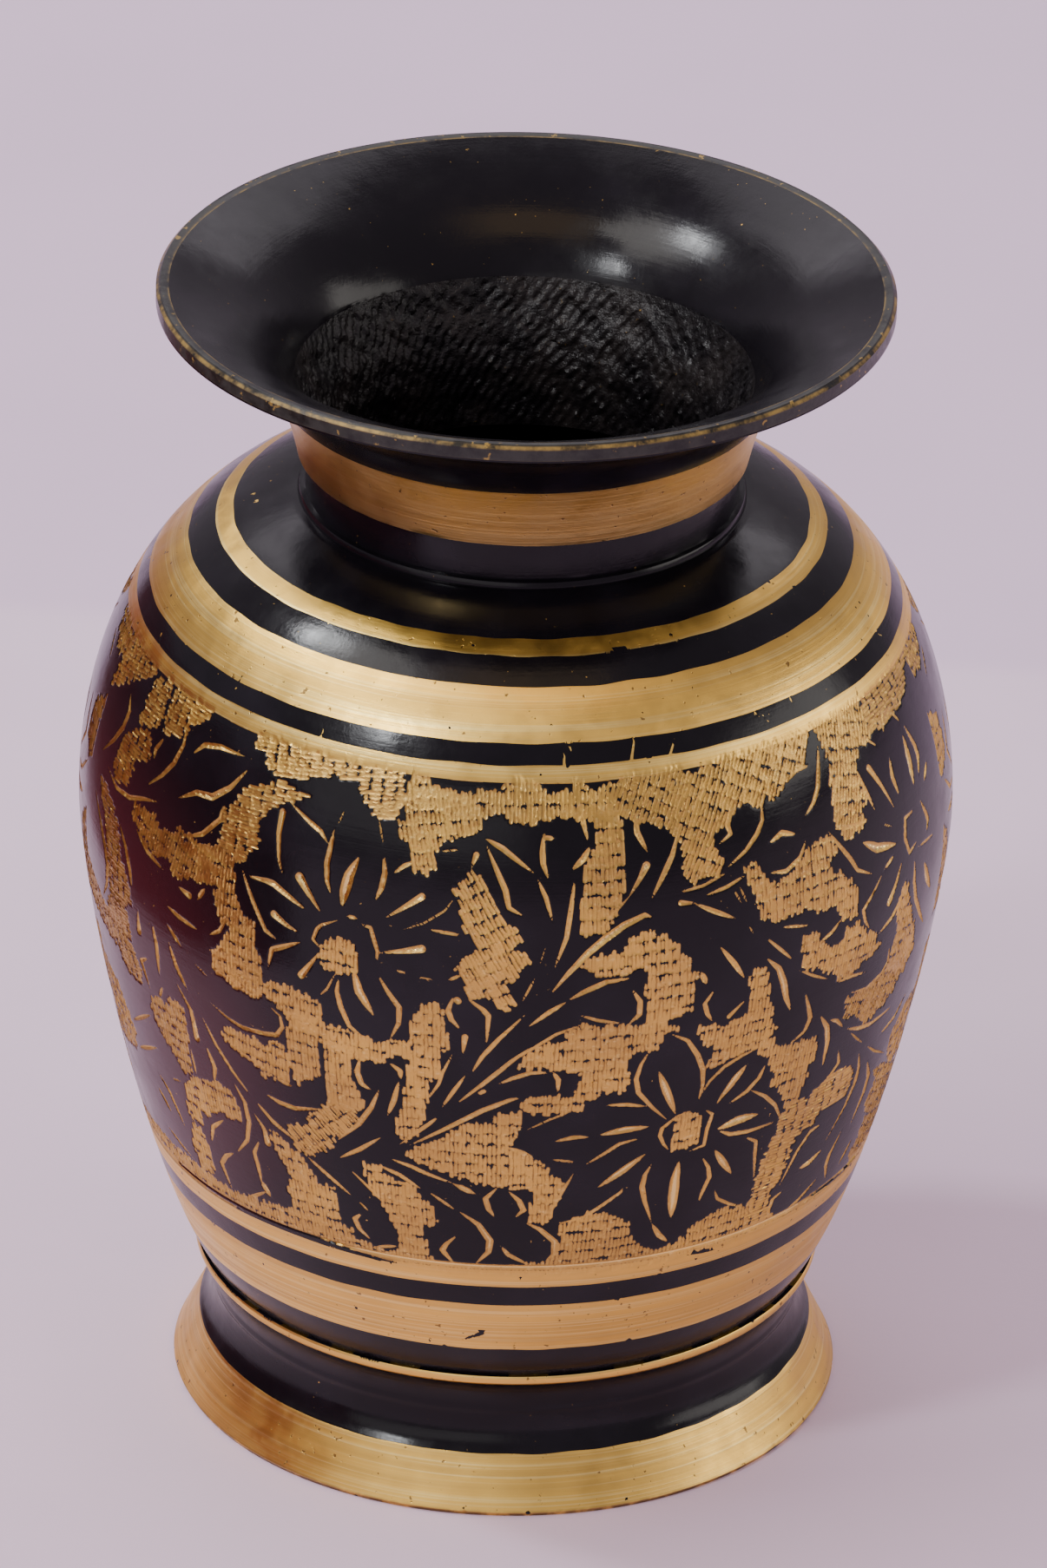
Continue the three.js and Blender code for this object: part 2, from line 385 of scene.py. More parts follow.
FLOWER_EDGE = [
    (0.9, 61.9, 115.7, 61.5, 113, 62.3, 109.9),
    (1.3, 66.9, 116.8, 66.9, 113, 66.8, 109.3),
    (1.0, 68, 117.9, 69.6, 114, 69.8, 112.3, 68.8, 109.9),
    (0.9, 72.2, 110.4, 70.2, 108.2),
    (1.5, 52.6, 106.9, 55.5, 104.8, 60, 103.4),
    (0.35, 57.2, 107.7, 59.4, 106.4),
    (0.8, 66.1, 106, 63, 106, 62.5, 103, 63.5, 100.3, 66, 101),
    (0.9, 67.9, 106.5, 69.5, 103.5, 70, 102.3, 69.3, 100.7),
    (0.7, 59.4, 102, 56.7, 100.8),
    (0.7, 56.4, 100.5, 53.8, 98, 52, 96.5, 52.5, 94.5, 53.6, 92.7),
    (0.9, 62.4, 96.5, 61, 93.8, 59, 92, 55.9, 90.7),
    (1.0, 65, 98.6, 65, 94.8, 66, 91.5, 68.5, 87.8, 71.2, 84.6),
    (1.4, 68.3, 96.2, 69.8, 93, 71.7, 90.3),
    (0.5, 65.7, 99.9, 72.2, 99),
    (0.7, 59.4, 87.5, 59.8, 84.3, 58.5, 82.8, 55, 82, 50.6, 83.1),
    (0.8, 62.2, 119.2, 64, 122.4),
    (0.6, 65.2, 121.7, 67.4, 118.6),
    (0.7, 53.7, 117.7, 54.8, 114, 56.1, 110.2),
    (0.5, 53.4, 122, 56.5, 121, 58.5, 119.5, 60, 118.1),
]
FLOWER_EDGE_WEDGES = [
    (1.1, 60.6, 108.7, 58.5, 113, 56.6, 116.4),
    (1.3, 61.2, 99.9, 59.5, 97, 58, 95),
]
SPRAY = [
    (0.9, -3.9, 117.6, -1.5, 116.3, 2.7, 113),
    (0.9, 4, 118.6, 3.8, 116, 3.9, 114.3, 4.6, 112.2),
    (0.8, 3.9, 117.9, 5.4, 117.7),
    (0.8, 8.7, 123, 9.3, 120.3, 10, 117.1),
    (1.0, 10.2, 116.4, 9.3, 114.8, 7.7, 113.3),
    (0.9, -3.7, 116.6, -2.3, 113.5, -1, 110.5, -0.5, 108, 1.4, 106.8),
    (0.35, -10.1, 115.3, -6.9, 115.9),
    (0.7, 3.2, 112.1, 4.3, 109.5, 5.2, 105.9),
    (0.8, 8.1, 112.2, 7.6, 108, 7, 103.5, 5.5, 98.9),
    (0.25, 4.4, 102.5, 3.5, 99),
    (0.4, 3.1, 97.5, 1.4, 93.4),
    (1.2, 5.2, 95, 7.3, 98, 9.8, 101, 12, 103, 14.5, 104.8, 17.3, 106, 18.3, 105.5),
    (0.5, 10.9, 104.1, 13, 106.5, 15.4, 109.1),
    (0.9, 16.8, 120.2, 16.8, 117.8, 18.1, 114.9),
    (0.9, 22.6, 117, 21.5, 114, 20, 111.3, 18.3, 108.3),
    (0.8, 24.3, 106.5, 27, 104.8, 30, 103),
    (0.6, 25.7, 107.4, 29, 108, 32, 109.1),
    (0.5, 21.6, 108.5, 25.5, 108.9, 29.2, 110.1),
    (0.9, 7.4, 93.7, 9.5, 95, 12.3, 96.3, 15.4, 96.5),
    (0.9, 15.7, 94.6, 16.8, 92.5, 16.8, 90.3, 15.4, 88.9),
    (0.6, 8.9, 91.1, 11.3, 90, 14.6, 89.1),
    (0.8, 2.4, 89.4, 5, 91.8, 7.1, 93.4),
    (0.8, -4.9, 81, -3.5, 84, -1.5, 87, 1.9, 91.4),
    (0.6, 0, 83, 3.5, 86, 6, 88, 9.6, 89.6),
    (0.9, -5.4, 93.6, -3.5, 92, -2.8, 91, -3, 86.2),
    (0.9, -7.4, 93.7, -8, 91.5, -7.6, 90, -6.4, 88.4),
    (1.2, -7, 93.5, -6.6, 93),
    (0.6, -8.1, 96.4, -6.4, 97.4),
    (1.0, 25, 95.8, 25.9, 93.6),
    (0.8, 27.1, 92.5, 25.8, 90.3, 26.3, 88.5, 27.1, 87.1),
    (0.9, 27.7, 99.2, 29.8, 96, 31.4, 93.2),
    (0.7, -15, 66.6, -11, 70.8, -9.5, 72.5),
    (0.9, -13.6, 66.7, -8.5, 70.5, -3.5, 74.3, 0, 76.3, 1.6, 76.9),
    (0.7, -8.9, 74.4, -7.3, 77.5, -5.7, 80.5),
    (0.8, -6.9, 75.3, -3.5, 79, 0.3, 83.3, 2.9, 85.9),
    (0.8, -4.1, 77.2, -2.9, 78.1),
    (0.8, -1.4, 79.2, 0.5, 80.3, 2.8, 81.3, 5.4, 81.3),
    (0.6, -10.9, 75.4, -9.3, 78.5, -8.8, 80.5, -7.4, 84.1),
    (0.8, 5.7, 81.4, 6.5, 80, 6.5, 77.7),
]
SPRAY_WEDGES = [
    (0.9, -5.6, 113.4, -5, 115.3),
    (1.2, 15.3, 109, 16.8, 111.3, 17.8, 113.1),
    (0.9, 24.4, 106.6, 22.3, 107),
    (1.0, -6.1, 84, -5.8, 87.2),
]
STEM_RIGHT = [
    (0.8, 32.1, 120.6, 31, 118.8, 30, 116.5, 30.3, 115.3, 28.4, 114.3),
    (0.8, 35.8, 118.5, 35.5, 116, 34.3, 114.3, 32.3, 112.5, 29.2, 110.7),
    (0.5, 40.1, 119.7, 42.8, 120.8, 45.7, 120.8),
    (0.9, 47.9, 122.7, 46.8, 120, 45.8, 117.5, 44.5, 115.8, 42.6, 114.5),
    (0.9, 36, 112.5, 38.3, 113.4, 40.6, 112.5),
    (0.8, 42.1, 111.2, 40.8, 109, 38.3, 107.8, 35.6, 108.3),
    (0.35, 29.8, 107.6, 31.1, 104.9),
    (0.35, 30.8, 107.7, 31.9, 104.8),
    (0.8, 46.2, 111, 47.8, 108.5, 49.8, 105.5, 51, 103.3, 54, 101.4),
    (0.7, 47.4, 110.9, 51, 110, 54.2, 109.5),
    (0.6, 34.4, 98.9, 37, 96, 39, 93.7),
    (0.3, 31.9, 101.4, 32.7, 99.9),
    (0.5, 36.9, 99.6, 39.3, 99, 41.9, 98.2),
    (0.7, 47.6, 97, 45.8, 95.6, 43.4, 94.7),
    (1.2, 34.8, 95.3, 36.8, 93, 37.8, 90.3, 38.5, 87.5, 39.6, 84.8),
    (0.5, 40.2, 91.5, 43, 89.5, 45.9, 87.7),
    (0.9, 41.8, 87, 42.8, 84.3, 43.5, 82, 42.8, 80, 40.4, 78.7),
    (0.6, 47.7, 86.3, 51, 86, 54.1, 85.2),
    (1.1, 45.5, 81.5, 47.3, 78.8, 48, 76, 48, 71.6),
    (0.7, 47.7, 79.9, 49.3, 79, 50.9, 77.2),
    (0.8, 51.9, 76.4, 55, 75, 58.5, 74.1, 64.7, 74),
    (0.4, 52.9, 75.4, 55, 73.3, 57.4, 71.2),
    (0.45, 58.7, 70.1, 62, 67.5, 67.2, 64.4),
    (0.8, 51, 73, 51.8, 70.5, 50, 68.5, 46.9, 66.9),
    (0.9, 56.9, 69.7, 58, 66.5, 58, 64, 56.8, 60.5, 53.7, 55.6),
    (1.1, 60.4, 66.5, 62.3, 63, 62.3, 60, 60.8, 55.3),
    (0.8, 51.2, 59.9, 48.8, 59.5, 46.8, 56.8, 44.7, 51.3),
    (1.1, 48.4, 52.8, 50.8, 53, 53.2, 54.1),
    (0.9, 58.1, 55.5, 56.3, 51.8, 56.3, 49.8, 57.6, 46.8),
    (0.9, 63.4, 51.2, 61.2, 47.6),
    (0.8, 45.9, 49.9, 44, 49, 43.8, 47, 44.6, 44.5),
    (0.8, 54.7, 48.4, 50.8, 46, 47.2, 44.7),
    (0.8, 62.3, 70.1, 67, 70.8, 70.2, 73.2),
]
STEM_RIGHT_WEDGES = [
    (0.9, 31.9, 89.4, 29.6, 87.2),
]
LOWER_SPRAY = [
    (0.9, 0.3, 59.5, 1.8, 57.8, 2.5, 56, 1.4, 54.7),
    (1.0, 3, 53.5, 5, 52.3, 7.3, 49.8, 7.3, 47.3, 6.2, 46.2),
    (0.8, -0.6, 48.9, 0.5, 47.3, 3.6, 45.4),
    (0.8, -43.5, 82.4, -40.5, 81, -38, 80.4, -34.3, 80.8, -32.3, 81.3, -31.3, 83, -31.5, 84.8, -33, 86),
    (0.7, -45.6, 79, -43.5, 75, -41, 71.5, -37.9, 68),
    (0.9, -37.2, 67.5, -34.8, 65, -31.3, 62.9),
    (0.9, -41, 69.3, -39.5, 66.5, -39.3, 63, -40.3, 59.3, -43, 55.9),
    (0.8, -37.9, 60.2, -39.3, 57.5, -39, 54.5, -39, 52),
    (1.2, -39, 52.4, -37.7, 49.9),
    (0.7, -38.4, 50.6, -41, 48.8, -43, 47.6),
    (0.9, -35.2, 69.7, -33, 69, -30.5, 68.9, -26.4, 70.1),
    (0.6, -25.4, 75.2, -24.8, 73, -25.3, 70.8, -26.4, 69.7),
    (0.6, -42.4, 78.1, -39.8, 76, -35.9, 74.4),
    (0.7, -32.9, 73.2, -30.5, 72.8),
    (1.0, -20, 81, -20.5, 78.5, -20, 76.5, -18.7, 75.7),
    (0.9, -15.9, 81.1, -14.5, 80, -14.4, 78.6),
    (0.9, -17.5, 76, -18.8, 72.5, -20.8, 69, -24.2, 65.2),
    (0.9, -14.7, 78.1, -15.5, 74.5, -16.5, 71.6),
    (0.8, -17.7, 67.3, -21, 64.3, -24.2, 61.9),
    (0.8, -29.6, 60.5, -26.5, 58, -23, 55.2),
    (0.5, -22, 54.4, -20.5, 52.9),
    (0.6, -22.7, 60.1, -20, 57.3, -18.2, 55.2),
    (0.9, -21.7, 52.1, -22.9, 50.8, -22.3, 49, -20.7, 47.4),
    (0.7, -20, 46.2, -16.2, 47.1),
    (0.8, -16.6, 63.7, -13.5, 62.8, -11.5, 61.9, -7.3, 60.4),
    (1.1, -7.5, 60.4, -4.4, 58.8),
    (0.8, -18.2, 62, -15.3, 60.9, -12.2, 58.8),
    (0.6, -11.1, 58.4, -7.2, 55.4),
    (1.1, -6.7, 55.2, -4, 53, -2.3, 50, -2.5, 47.8, -4.4, 45.4),
    (0.9, -7.2, 50.6, -8.8, 48.8, -9.5, 47.5, -8.8, 46.5, -7.7, 44.9),
    (0.9, -1.3, 60.2, -3, 58, -2.5, 56, -1.7, 54.7),
]
LOWER_SPRAY_WEDGES = [
    (1.2, -38, 65.1, -36.6, 63, -36.3, 60.4),
]
STEM_LEFT = [
    (1.1, -69.5, 119.3, -68, 117.3, -68.3, 114.8, -70, 112, -73, 108.8),
    (0.9, -57.4, 118.2, -58.5, 116, -58.3, 114.7),
    (0.9, -53.6, 121.7, -53, 119, -53.8, 116, -55.5, 113.5, -58.7, 110.3),
    (0.9, -41.3, 121.5, -46, 121.3, -49, 120.5, -50.7, 118.6),
    (1.1, -40.1, 120.1, -42.3, 116.8, -45, 114.5, -48, 114, -51.2, 111.9),
    (0.9, -42.9, 113.6, -42.8, 112, -45.5, 108.8, -48.2, 107.4),
    (0.8, -55.1, 109.6, -58.5, 108.5, -62, 107, -66, 106.5, -70, 107.9),
    (1.2, -73, 102.5, -69.8, 99, -67.8, 96, -67, 93.5, -67.8, 90, -70, 86.8),
    (1.0, -63.7, 102.2, -61.3, 99.3, -60, 96.5, -59.4, 93.8),
    (0.8, -59.2, 103.6, -56, 101.5, -51.9, 100.3),
    (0.9, -43.8, 101.2, -45.1, 98.8),
    (0.8, -51.1, 95.2, -48.5, 94.5, -44.8, 94),
    (0.7, -39.6, 98.3, -41, 95.5, -42.7, 94.2),
    (0.9, -51.2, 92.1, -48.3, 89.6),
    (0.9, -54.6, 90.5, -54, 87, -54.2, 81.8),
    (0.9, -51.1, 89.2, -49.8, 85.5, -48, 82.4),
    (0.8, -56.8, 83.4, -58.8, 82, -57.4, 77.9),
    (0.7, -53.9, 80, -55.1, 77.6),
    (0.9, -45.6, 73.7, -44.5, 70.5, -45.1, 67.8),
    (0.6, -49.3, 71.7, -49, 66.9),
    (0.8, -58.8, 72.6, -62, 70.5, -66, 67.9),
    (0.8, -58.8, 66.9, -62.8, 64.8, -66, 63.2),
    (0.8, -60, 61.6, -57.8, 59.8, -55.4, 54.8),
    (0.4, -56.2, 63, -53.3, 63.8),
    (1.0, -61.7, 58.5, -58.9, 55.6),
    (0.8, -44.6, 61.1, -47.5, 58.5, -48.6, 55.3),
    (0.9, -43.9, 55.4, -45.8, 54, -47.3, 52, -46.2, 47.8),
    (0.6, -62.2, 51.6, -55.3, 48.9),
    (0.35, -46, 88, -43.4, 86.7),
]
STEM_LEFT_WEDGES = [
    (1.1, -49, 99.3, -46.6, 98.8),
    (1.2, -58.1, 90.8, -58.3, 87.2),
    (1.2, -50.2, 82.5, -47.8, 79, -47.4, 74.3),
]

# A small flower and its leaves for the two places that meet the repeat, centred on angle 0.
SPRIG = [
    (0.9, -5, 112, -6.5, 106, -2.5, 101.5), (0.9, 5, 112, 6.5, 106, 2.5, 101.5),
    (1.4, 0, 111, 0.4, 107, 0, 102), (0.8, -11, 104, -7, 100.5, -3, 100),
    (0.8, 11, 104, 7, 100.5, 3, 100), (1.2, -9.5, 98, -6.5, 97.3, -3, 98),
    (1.2, 9.5, 98, 6.5, 97.3, 3, 98), (0.9, -6.5, 88.5, -5.5, 92.5, -2, 96),
    (0.9, 6.5, 88.5, 5.5, 92.5, 2, 96), (0.9, 0.3, 94.5, -0.8, 86, 0.5, 78, 0.2, 70),
    (0.9, 0, 69, -1.2, 61, 0.8, 50), (0.8, -0.8, 80, -4.5, 84.5, -8, 85), (0.8, 1, 76, 5, 80.5, 8, 80.5),
    (0.9, -0.6, 66, -5, 70, -8.5, 76), (0.9, 0.6, 62, 5, 66, 8.5, 71.5), (0.8, -1, 56, -5.5, 60.5, -9, 60.5),
    (0.8, 1.2, 53, 5.5, 57, 9, 56.5), (1.0, -3, 52, -6.5, 47.5), (1.0, 4, 50, 7.5, 46.5),
    (0.6, -8, 118.5, -4, 121.5), (0.6, 8, 118.5, 4, 121.5),
]

# The ground that was chiselled away between the motifs: the direction of the chisel rows in
# degrees from level, then the corners of each patch by angle and height.
GROUND = [
    (8, -39.8, 125.2, -39.8, 123.2, -37.3, 123.1, -36.8, 121, -32, 120.9, -26.5, 122.9, -22, 122.9, -21.3,
     120.8, -19.8, 119.8, -19.3, 118.8, -16.3, 118.8, -16, 125.2),
    (5, -34, 120.5, -29.5, 119.3, -33.8, 117, -36.4, 114.5, -36, 110.5, -37.4, 108.8, -37.5, 107.5, -42.1,
     107.8, -42.4, 112, -42.3, 114, -40.6, 115.3, -40, 117.5, -37, 119),
    (90, -46, 106.7, -42, 107.8, -37.5, 107.5, -39.6, 106.5, -38.6, 104.8, -38.5, 102, -36.8, 99, -35,
     98.9, -35, 94.5, -34, 93.5, -34, 89.6, -42.5, 88.5, -42.5, 91, -40.5, 94, -39, 97, -41, 97.5, -42.3,
     101, -42, 102.7, -46, 102),
    (88, -37.5, 90, -33.5, 89.8, -30.5, 90.6, -25.4, 89.4, -25, 85.8, -21, 85.2, -18, 84.4, -16, 85, -13,
     85.3, -13, 82.8, -16.3, 82.5, -16.3, 81.3, -20, 80.8, -25, 82.4, -30.6, 85.3, -33.5, 87.8, -36.5,
     86.5, -41, 88.2),
    (90, -30.5, 85.8, -26, 86, -26, 76, -28.5, 75.3, -29.3, 73.5, -30.2, 74.5, -30.7, 76.5),
    (90, -25, 82.6, -21.5, 82.6, -21.6, 77.5, -20.6, 75, -19.7, 73, -20.5, 71.6, -24.8, 71.6, -25.3, 75,
     -25, 80),
    (-48, -24.5, 71.8, -20.5, 71.8, -21, 70, -22.5, 68, -24.2, 66, -25.7, 63.5, -27.5, 61.8, -29, 60.8,
     -31, 61, -31.5, 62.3, -32, 65, -28.5, 66.5, -28.8, 67.8, -26.3, 70),
    (86, -41, 79.3, -36, 79, -34.3, 78.5, -33.5, 80, -30.9, 79.8, -30.9, 73.3, -33, 73.3, -35.8, 73, -36,
     74.5, -38.5, 75.3, -41, 76.5, -42.3, 77.8),
    (90, -12.8, 84.5, -13.2, 88.5, -11.8, 90.5, -11.3, 92, -10.3, 92.4, -8.8, 91.8, -8.3, 89, -7.8, 85.5,
     -8.9, 84, -8.7, 80, -10.3, 79, -11.2, 73.3, -11.3, 72, -12, 70.5, -12.4, 69, -14.5, 67.4, -15.6, 69,
     -15.3, 71, -14.3, 74, -13.8, 78.8, -13.3, 81.8),
    (90, -14.6, 64.8, -11, 63.5, -6, 61.5, 0, 60.3, 4, 59.8, 3.4, 57, 3.5, 53.8, 6, 53.5, 7.3, 57.5, 8.3,
     60.5, 7.8, 61.6, 5, 63.8, 5.2, 64.8, 3, 66.2, -0.5, 66.8, 1, 69, 1.7, 71.5, 2, 74, -1.5, 73.9, -2,
     72.3, -6.3, 71, -7.5, 70, -9.5, 68, -11.3, 67.3, -13.4, 66),
    (90, 2, 84.3, 4.5, 86.2, 8, 87, 7, 87.8, 9.3, 89.3, 13, 88.8, 16.5, 88.7, 20, 88.5, 22.5, 87.2, 20.5,
     86.3, 19.8, 83.8, 16.5, 84, 15.5, 82.3, 16, 79.3, 15.8, 77, 12.5, 77.3, 12.3, 76.3, 10.3, 76.5, 10.3,
     74.4, 5.5, 73.8, 3, 74.3, 1.3, 75.3, 3, 77, 5.5, 76.9, 8.3, 76.9, 9.8, 80, 8.5, 81.3, 6.3, 82, 1.3,
     82.3),
    (90, 9, 98.8, 9.5, 100.3, 14.7, 100.6, 15, 103, 17.8, 103.3, 20.3, 102.3, 22.5, 99.3, 23.8, 98.5, 23.5,
     96.5, 24.8, 95.8, 24, 93.5, 24.3, 90, 20.5, 88.5, 17.6, 88.8, 18, 92, 17.3, 94, 18, 98, 15.5, 98,
     15.3, 97.3, 12, 97.4),
    (88, 25, 86.5, 29.6, 85.6, 32.3, 87, 32.8, 89, 32, 92.3, 32.8, 94, 34.5, 94.3, 35.3, 92, 36, 88, 36.8,
     85, 36.5, 83.5, 37.8, 83, 37, 81.5, 37.8, 79.5, 39, 78.8, 43.3, 78.5, 45.3, 77.8, 46, 76.5, 45.8, 74,
     44.8, 72.8, 45.3, 71, 44.5, 70, 44.3, 67.8, 42.2, 66.5, 40.8, 69, 39.3, 71.5, 37.8, 72.6, 39.3, 74,
     37.8, 75.5, 36.8, 76.8, 37, 77.8, 35.5, 78.8, 34, 80.4, 31.3, 79.8, 28, 78.8, 27, 79.5, 28, 82.3, 26,
     83.5),
    (62, 13.3, 124.3, 18, 125.2, 24, 125.2, 26, 124.2, 29.8, 125.2, 40, 125.2, 47, 125.2, 46.8, 124.4,
     44.5, 121.3, 42.5, 121, 38, 118, 37, 119, 35, 117.8, 33.5, 119.5, 30.8, 117.5, 27.5, 115.5, 27.8, 114,
     28.8, 111.5, 28.3, 110.2, 23.6, 109.7, 22.8, 111, 23, 114.8, 21.7, 117.8, 19.5, 118.8, 14.5, 120),
    (90, 14.3, 120.6, 15, 118.8, 14.8, 115, 14.9, 111, 14, 108, 13.3, 105.5, 12, 104, 9.3, 104, 8.8, 105,
     8.5, 107, 9, 109.5, 9.5, 113.5, 10.6, 115.5, 11, 117.8, 10.4, 120.8),
    (90, -16, 121.5, -14.5, 125.2, -13.5, 123.4, -11, 123.5, -7.5, 123.1, -2, 123.9, -1.5, 124.7, 0.5,
     125.2, 2.3, 125.2, 4, 124.4, 4.3, 123.5, 8, 123.9, 8.3, 125.1, 10, 125.1, 10.3, 123.4, 13.3, 124.2,
     14.3, 120, 9.3, 120.5, 5, 120.5, 2.8, 120, -0.5, 120.3, -2, 121.3, -4.6, 120.5),
    (102, -16, 121.5, -14.5, 125.2, -11, 123.5, -7.5, 123.1, -4.6, 120.5, -4.6, 118.4, -6, 118, -9, 117,
     -10.5, 115.8, -10, 113.5, -11.5, 112.3, -13.5, 112.3, -14, 115.5, -16, 117, -16, 118.5, -15, 119.3),
    (118, -5.8, 113, -4.3, 112.3, -3.3, 110.5, -2.3, 108.5, -1, 105.5, 0.5, 105.3, 1.3, 103, 0.3, 102, 1.5,
     101.5, 2.5, 100, 0.5, 97.8, -0.8, 95.8, 0.8, 93.5, -0.8, 91.8, -2, 93.2, -3.3, 94, -5.5, 94.3, -6,
     96.5, -7.3, 98.3, -4.3, 101, -4.8, 102, -5.3, 103.5, -6, 104, -7, 107, -6.8, 108.8, -7.8, 109.8),
    (90, -35.8, 63, -34, 63.3, -33, 61.3, -31, 60.8, -30, 59, -28.8, 57, -28, 55.8, -25.5, 55.8, -25.5, 52,
     -25.3, 48.8, -23.5, 48.5, -22.8, 46.5, -19.5, 46, -18, 45.6, -26, 45, -33, 45.7, -33.3, 44.9, -46,
     44.9, -46, 47.5, -41, 48, -38, 48.5, -33.5, 49.3, -33.5, 51, -34, 53, -33, 55.5, -33.5, 57, -34.5,
     58.5, -35, 60, -35.5, 61),
    (90, -20.8, 61.8, -18.3, 62, -17.3, 60.3, -15.3, 59.3, -12.8, 59, -12.5, 57, -11.3, 56.5, -10.5, 54.5,
     -10, 52.8, -12, 52, -12, 49, -11.3, 47.5, -11.3, 45.8, -9.5, 44.1, -13, 44, -20, 45.8, -16.3, 45.9,
     -16.3, 50.5, -17.3, 52.8, -18.8, 55.8, -20, 58, -20.8, 59.8),
    (90, -12.5, 43.9, -9.5, 44.8, -5, 44.4, 0.3, 45, 3.8, 45.6, 6.5, 46.2, 7.9, 49, 8, 52.8, 12, 55, 15.5,
     54.3, 16.8, 52.8, 18.8, 51.8, 19, 49, 20.5, 47, 22.8, 45.9, 26.8, 46.3, 29, 49, 33, 51, 38, 49.9,
     39.6, 51, 39.6, 43.9),
    (0, 39.5, 44, 39.3, 53, 39.5, 57, 40.5, 60, 41.3, 63, 41.5, 66, 44.3, 67.2, 46.3, 66.8, 49.5, 68.5, 52,
     69.2, 54, 68.8, 55.8, 67.3, 56.5, 64.8, 55.8, 62.8, 50, 62.5, 48.5, 60.7, 45.3, 60.2, 44.8, 56, 44.5,
     53, 42.8, 51.3, 43.2, 47, 45.5, 44.9, 50, 45.2, 60, 45.7, 70, 46, 76, 46.5, 76, 44),
    (88, 31.8, 110, 33.5, 110.5, 34.5, 108.5, 36, 106.6, 38.5, 106.8, 40.3, 108.1, 42.3, 109.6, 45, 110.5,
     47, 109.8, 47.5, 108, 46, 106.3, 46.3, 104.3, 47.8, 104.3, 48.5, 103, 50, 102.3, 51, 99.5, 50.8, 96,
     48, 96.8, 47.3, 97.8, 46.5, 100.3, 43.5, 99.8, 42.3, 101.3, 38, 101, 35.8, 100.5, 35.5, 101.5, 34,
     102.3, 33.3, 104.3, 32.8, 106.5),
    (84, 40.8, 96.8, 43.2, 96.3, 44, 94.2, 46, 93, 48.3, 93.3, 48.5, 94.8, 51, 95, 51.8, 93.8, 53.5, 92,
     54.5, 92, 55.6, 90.5, 55.5, 89, 57, 88.5, 54, 87.8, 52.5, 87.5, 51, 86.6, 48, 86.8, 47.3, 88.3, 45,
     89.6, 44.5, 90.5, 41, 91.4, 40.5, 94.8),
    (70, 47.8, 125.2, 59, 125.2, 59.3, 123.7, 59.3, 120.5, 57.3, 119.8, 56, 119.8, 54.5, 118, 54, 116,
     54.8, 113, 55, 112.2, 53.5, 111.8, 52.8, 110.8, 54, 109.7, 50, 108.4, 49.3, 108.2, 48.5, 110.5, 47.8,
     112, 48, 114, 48.3, 117, 48.5, 119.5, 49, 121, 48.5, 123.4),
    (4, 59.5, 123.9, 61, 125.1, 72, 125.2, 77, 124.5, 72, 121.5, 69, 120.5, 63, 120, 59.5, 120.5),
    (72, 50.3, 82.4, 55.5, 81.7, 58.5, 82, 60, 83, 65, 84.8, 67, 85.5, 67.5, 84, 65, 79.3, 63.5, 77.3,
     61.5, 76.3, 57, 75.5, 55, 76.2, 54, 78, 51, 78.5),
    (80, 61.8, 96, 63, 95.5, 64.3, 91, 67.3, 86, 68.5, 82, 66, 79.5, 60, 82.8, 60.8, 91, 60, 92.3),
    (90, 67.5, 67.5, 70, 70, 77, 71, 77, 60, 71, 60.5, 69, 63, 67.5, 65),
    (70, 64, 63.3, 68, 62, 77, 57.5, 77, 46.5, 66, 46, 64.5, 47.5, 66, 50, 66.5, 54, 64.5, 57.5, 66, 60),
    (0, -64.8, 123.9, -60.2, 125.2, -59.5, 118.8, -61, 118, -64.3, 117.2, -64.5, 120),
    (0, -58.7, 125.2, -50, 125.2, -50.5, 123.2, -53, 121.8, -54, 119.5, -58.2, 118.7),
    (0, -61.5, 117.5, -60, 117, -59.8, 115, -59, 114.5, -60, 113.5, -63, 112.3, -62.3, 111.5, -63.3, 109.8,
     -63.5, 108, -66.5, 107.3, -68.5, 108.8, -68, 110.5, -66.8, 114.5, -64, 116.3),
    (78, -60.8, 107, -55.3, 107.3, -54, 106, -51, 106.8, -50.8, 107.8, -48.8, 107.8, -47, 107.2, -42.3,
     108, -42, 103, -43, 102.5, -46, 101.8, -48.5, 100.7, -50.3, 100.7, -50.8, 102.8, -54.8, 102, -56.5,
     102.1, -58.3, 103.2, -59, 104.3, -60.5, 104.8),
    (12, -77, 125.2, -64.8, 124.5, -71, 120.3, -77, 117),
    (0, -71.5, 105.3, -70, 105.6, -66, 103.5, -63.9, 100.8, -62.5, 96.8, -60.5, 93.8, -60, 91, -62, 89.5,
     -61, 84, -69, 84, -66.3, 90, -66.2, 93, -67, 97.8, -69.5, 102),
    (10, -61.5, 88, -62.5, 84.5, -60, 81.3, -59.4, 78.5, -60.5, 77.3, -64, 77.5, -66, 80, -77, 82, -77, 90,
     -70, 85.5),
    (90, -57.8, 76.3, -56, 77, -54, 77, -52.8, 78.8, -49.3, 78.3, -49.3, 76, -49.5, 74, -49.6, 70.5, -49.6,
     67.2, -50.8, 66.3, -52.5, 66.8, -54, 69, -57, 71.8, -58, 74),
    (90, -50.5, 65.8, -47.8, 66.8, -44.5, 67.6, -41.9, 67.3, -40.9, 64.8, -40.6, 62.8, -45.8, 62.3, -47.5,
     60.8, -49.8, 60.3, -50, 58, -51.5, 57.8, -53.3, 58, -53, 60.5, -52.3, 64),
    (90, -53, 56.5, -51, 57, -49.8, 54.5, -49.5, 51, -50, 48.5, -53.8, 48.5, -54, 52.5),
    (90, -77, 48.2, -56, 48.2, -50, 47.7, -46, 47.5, -46, 44.9, -60, 45.1, -77, 45),
    (90, -77, 74, -70, 72, -66, 66, -68, 62, -77, 60),
]
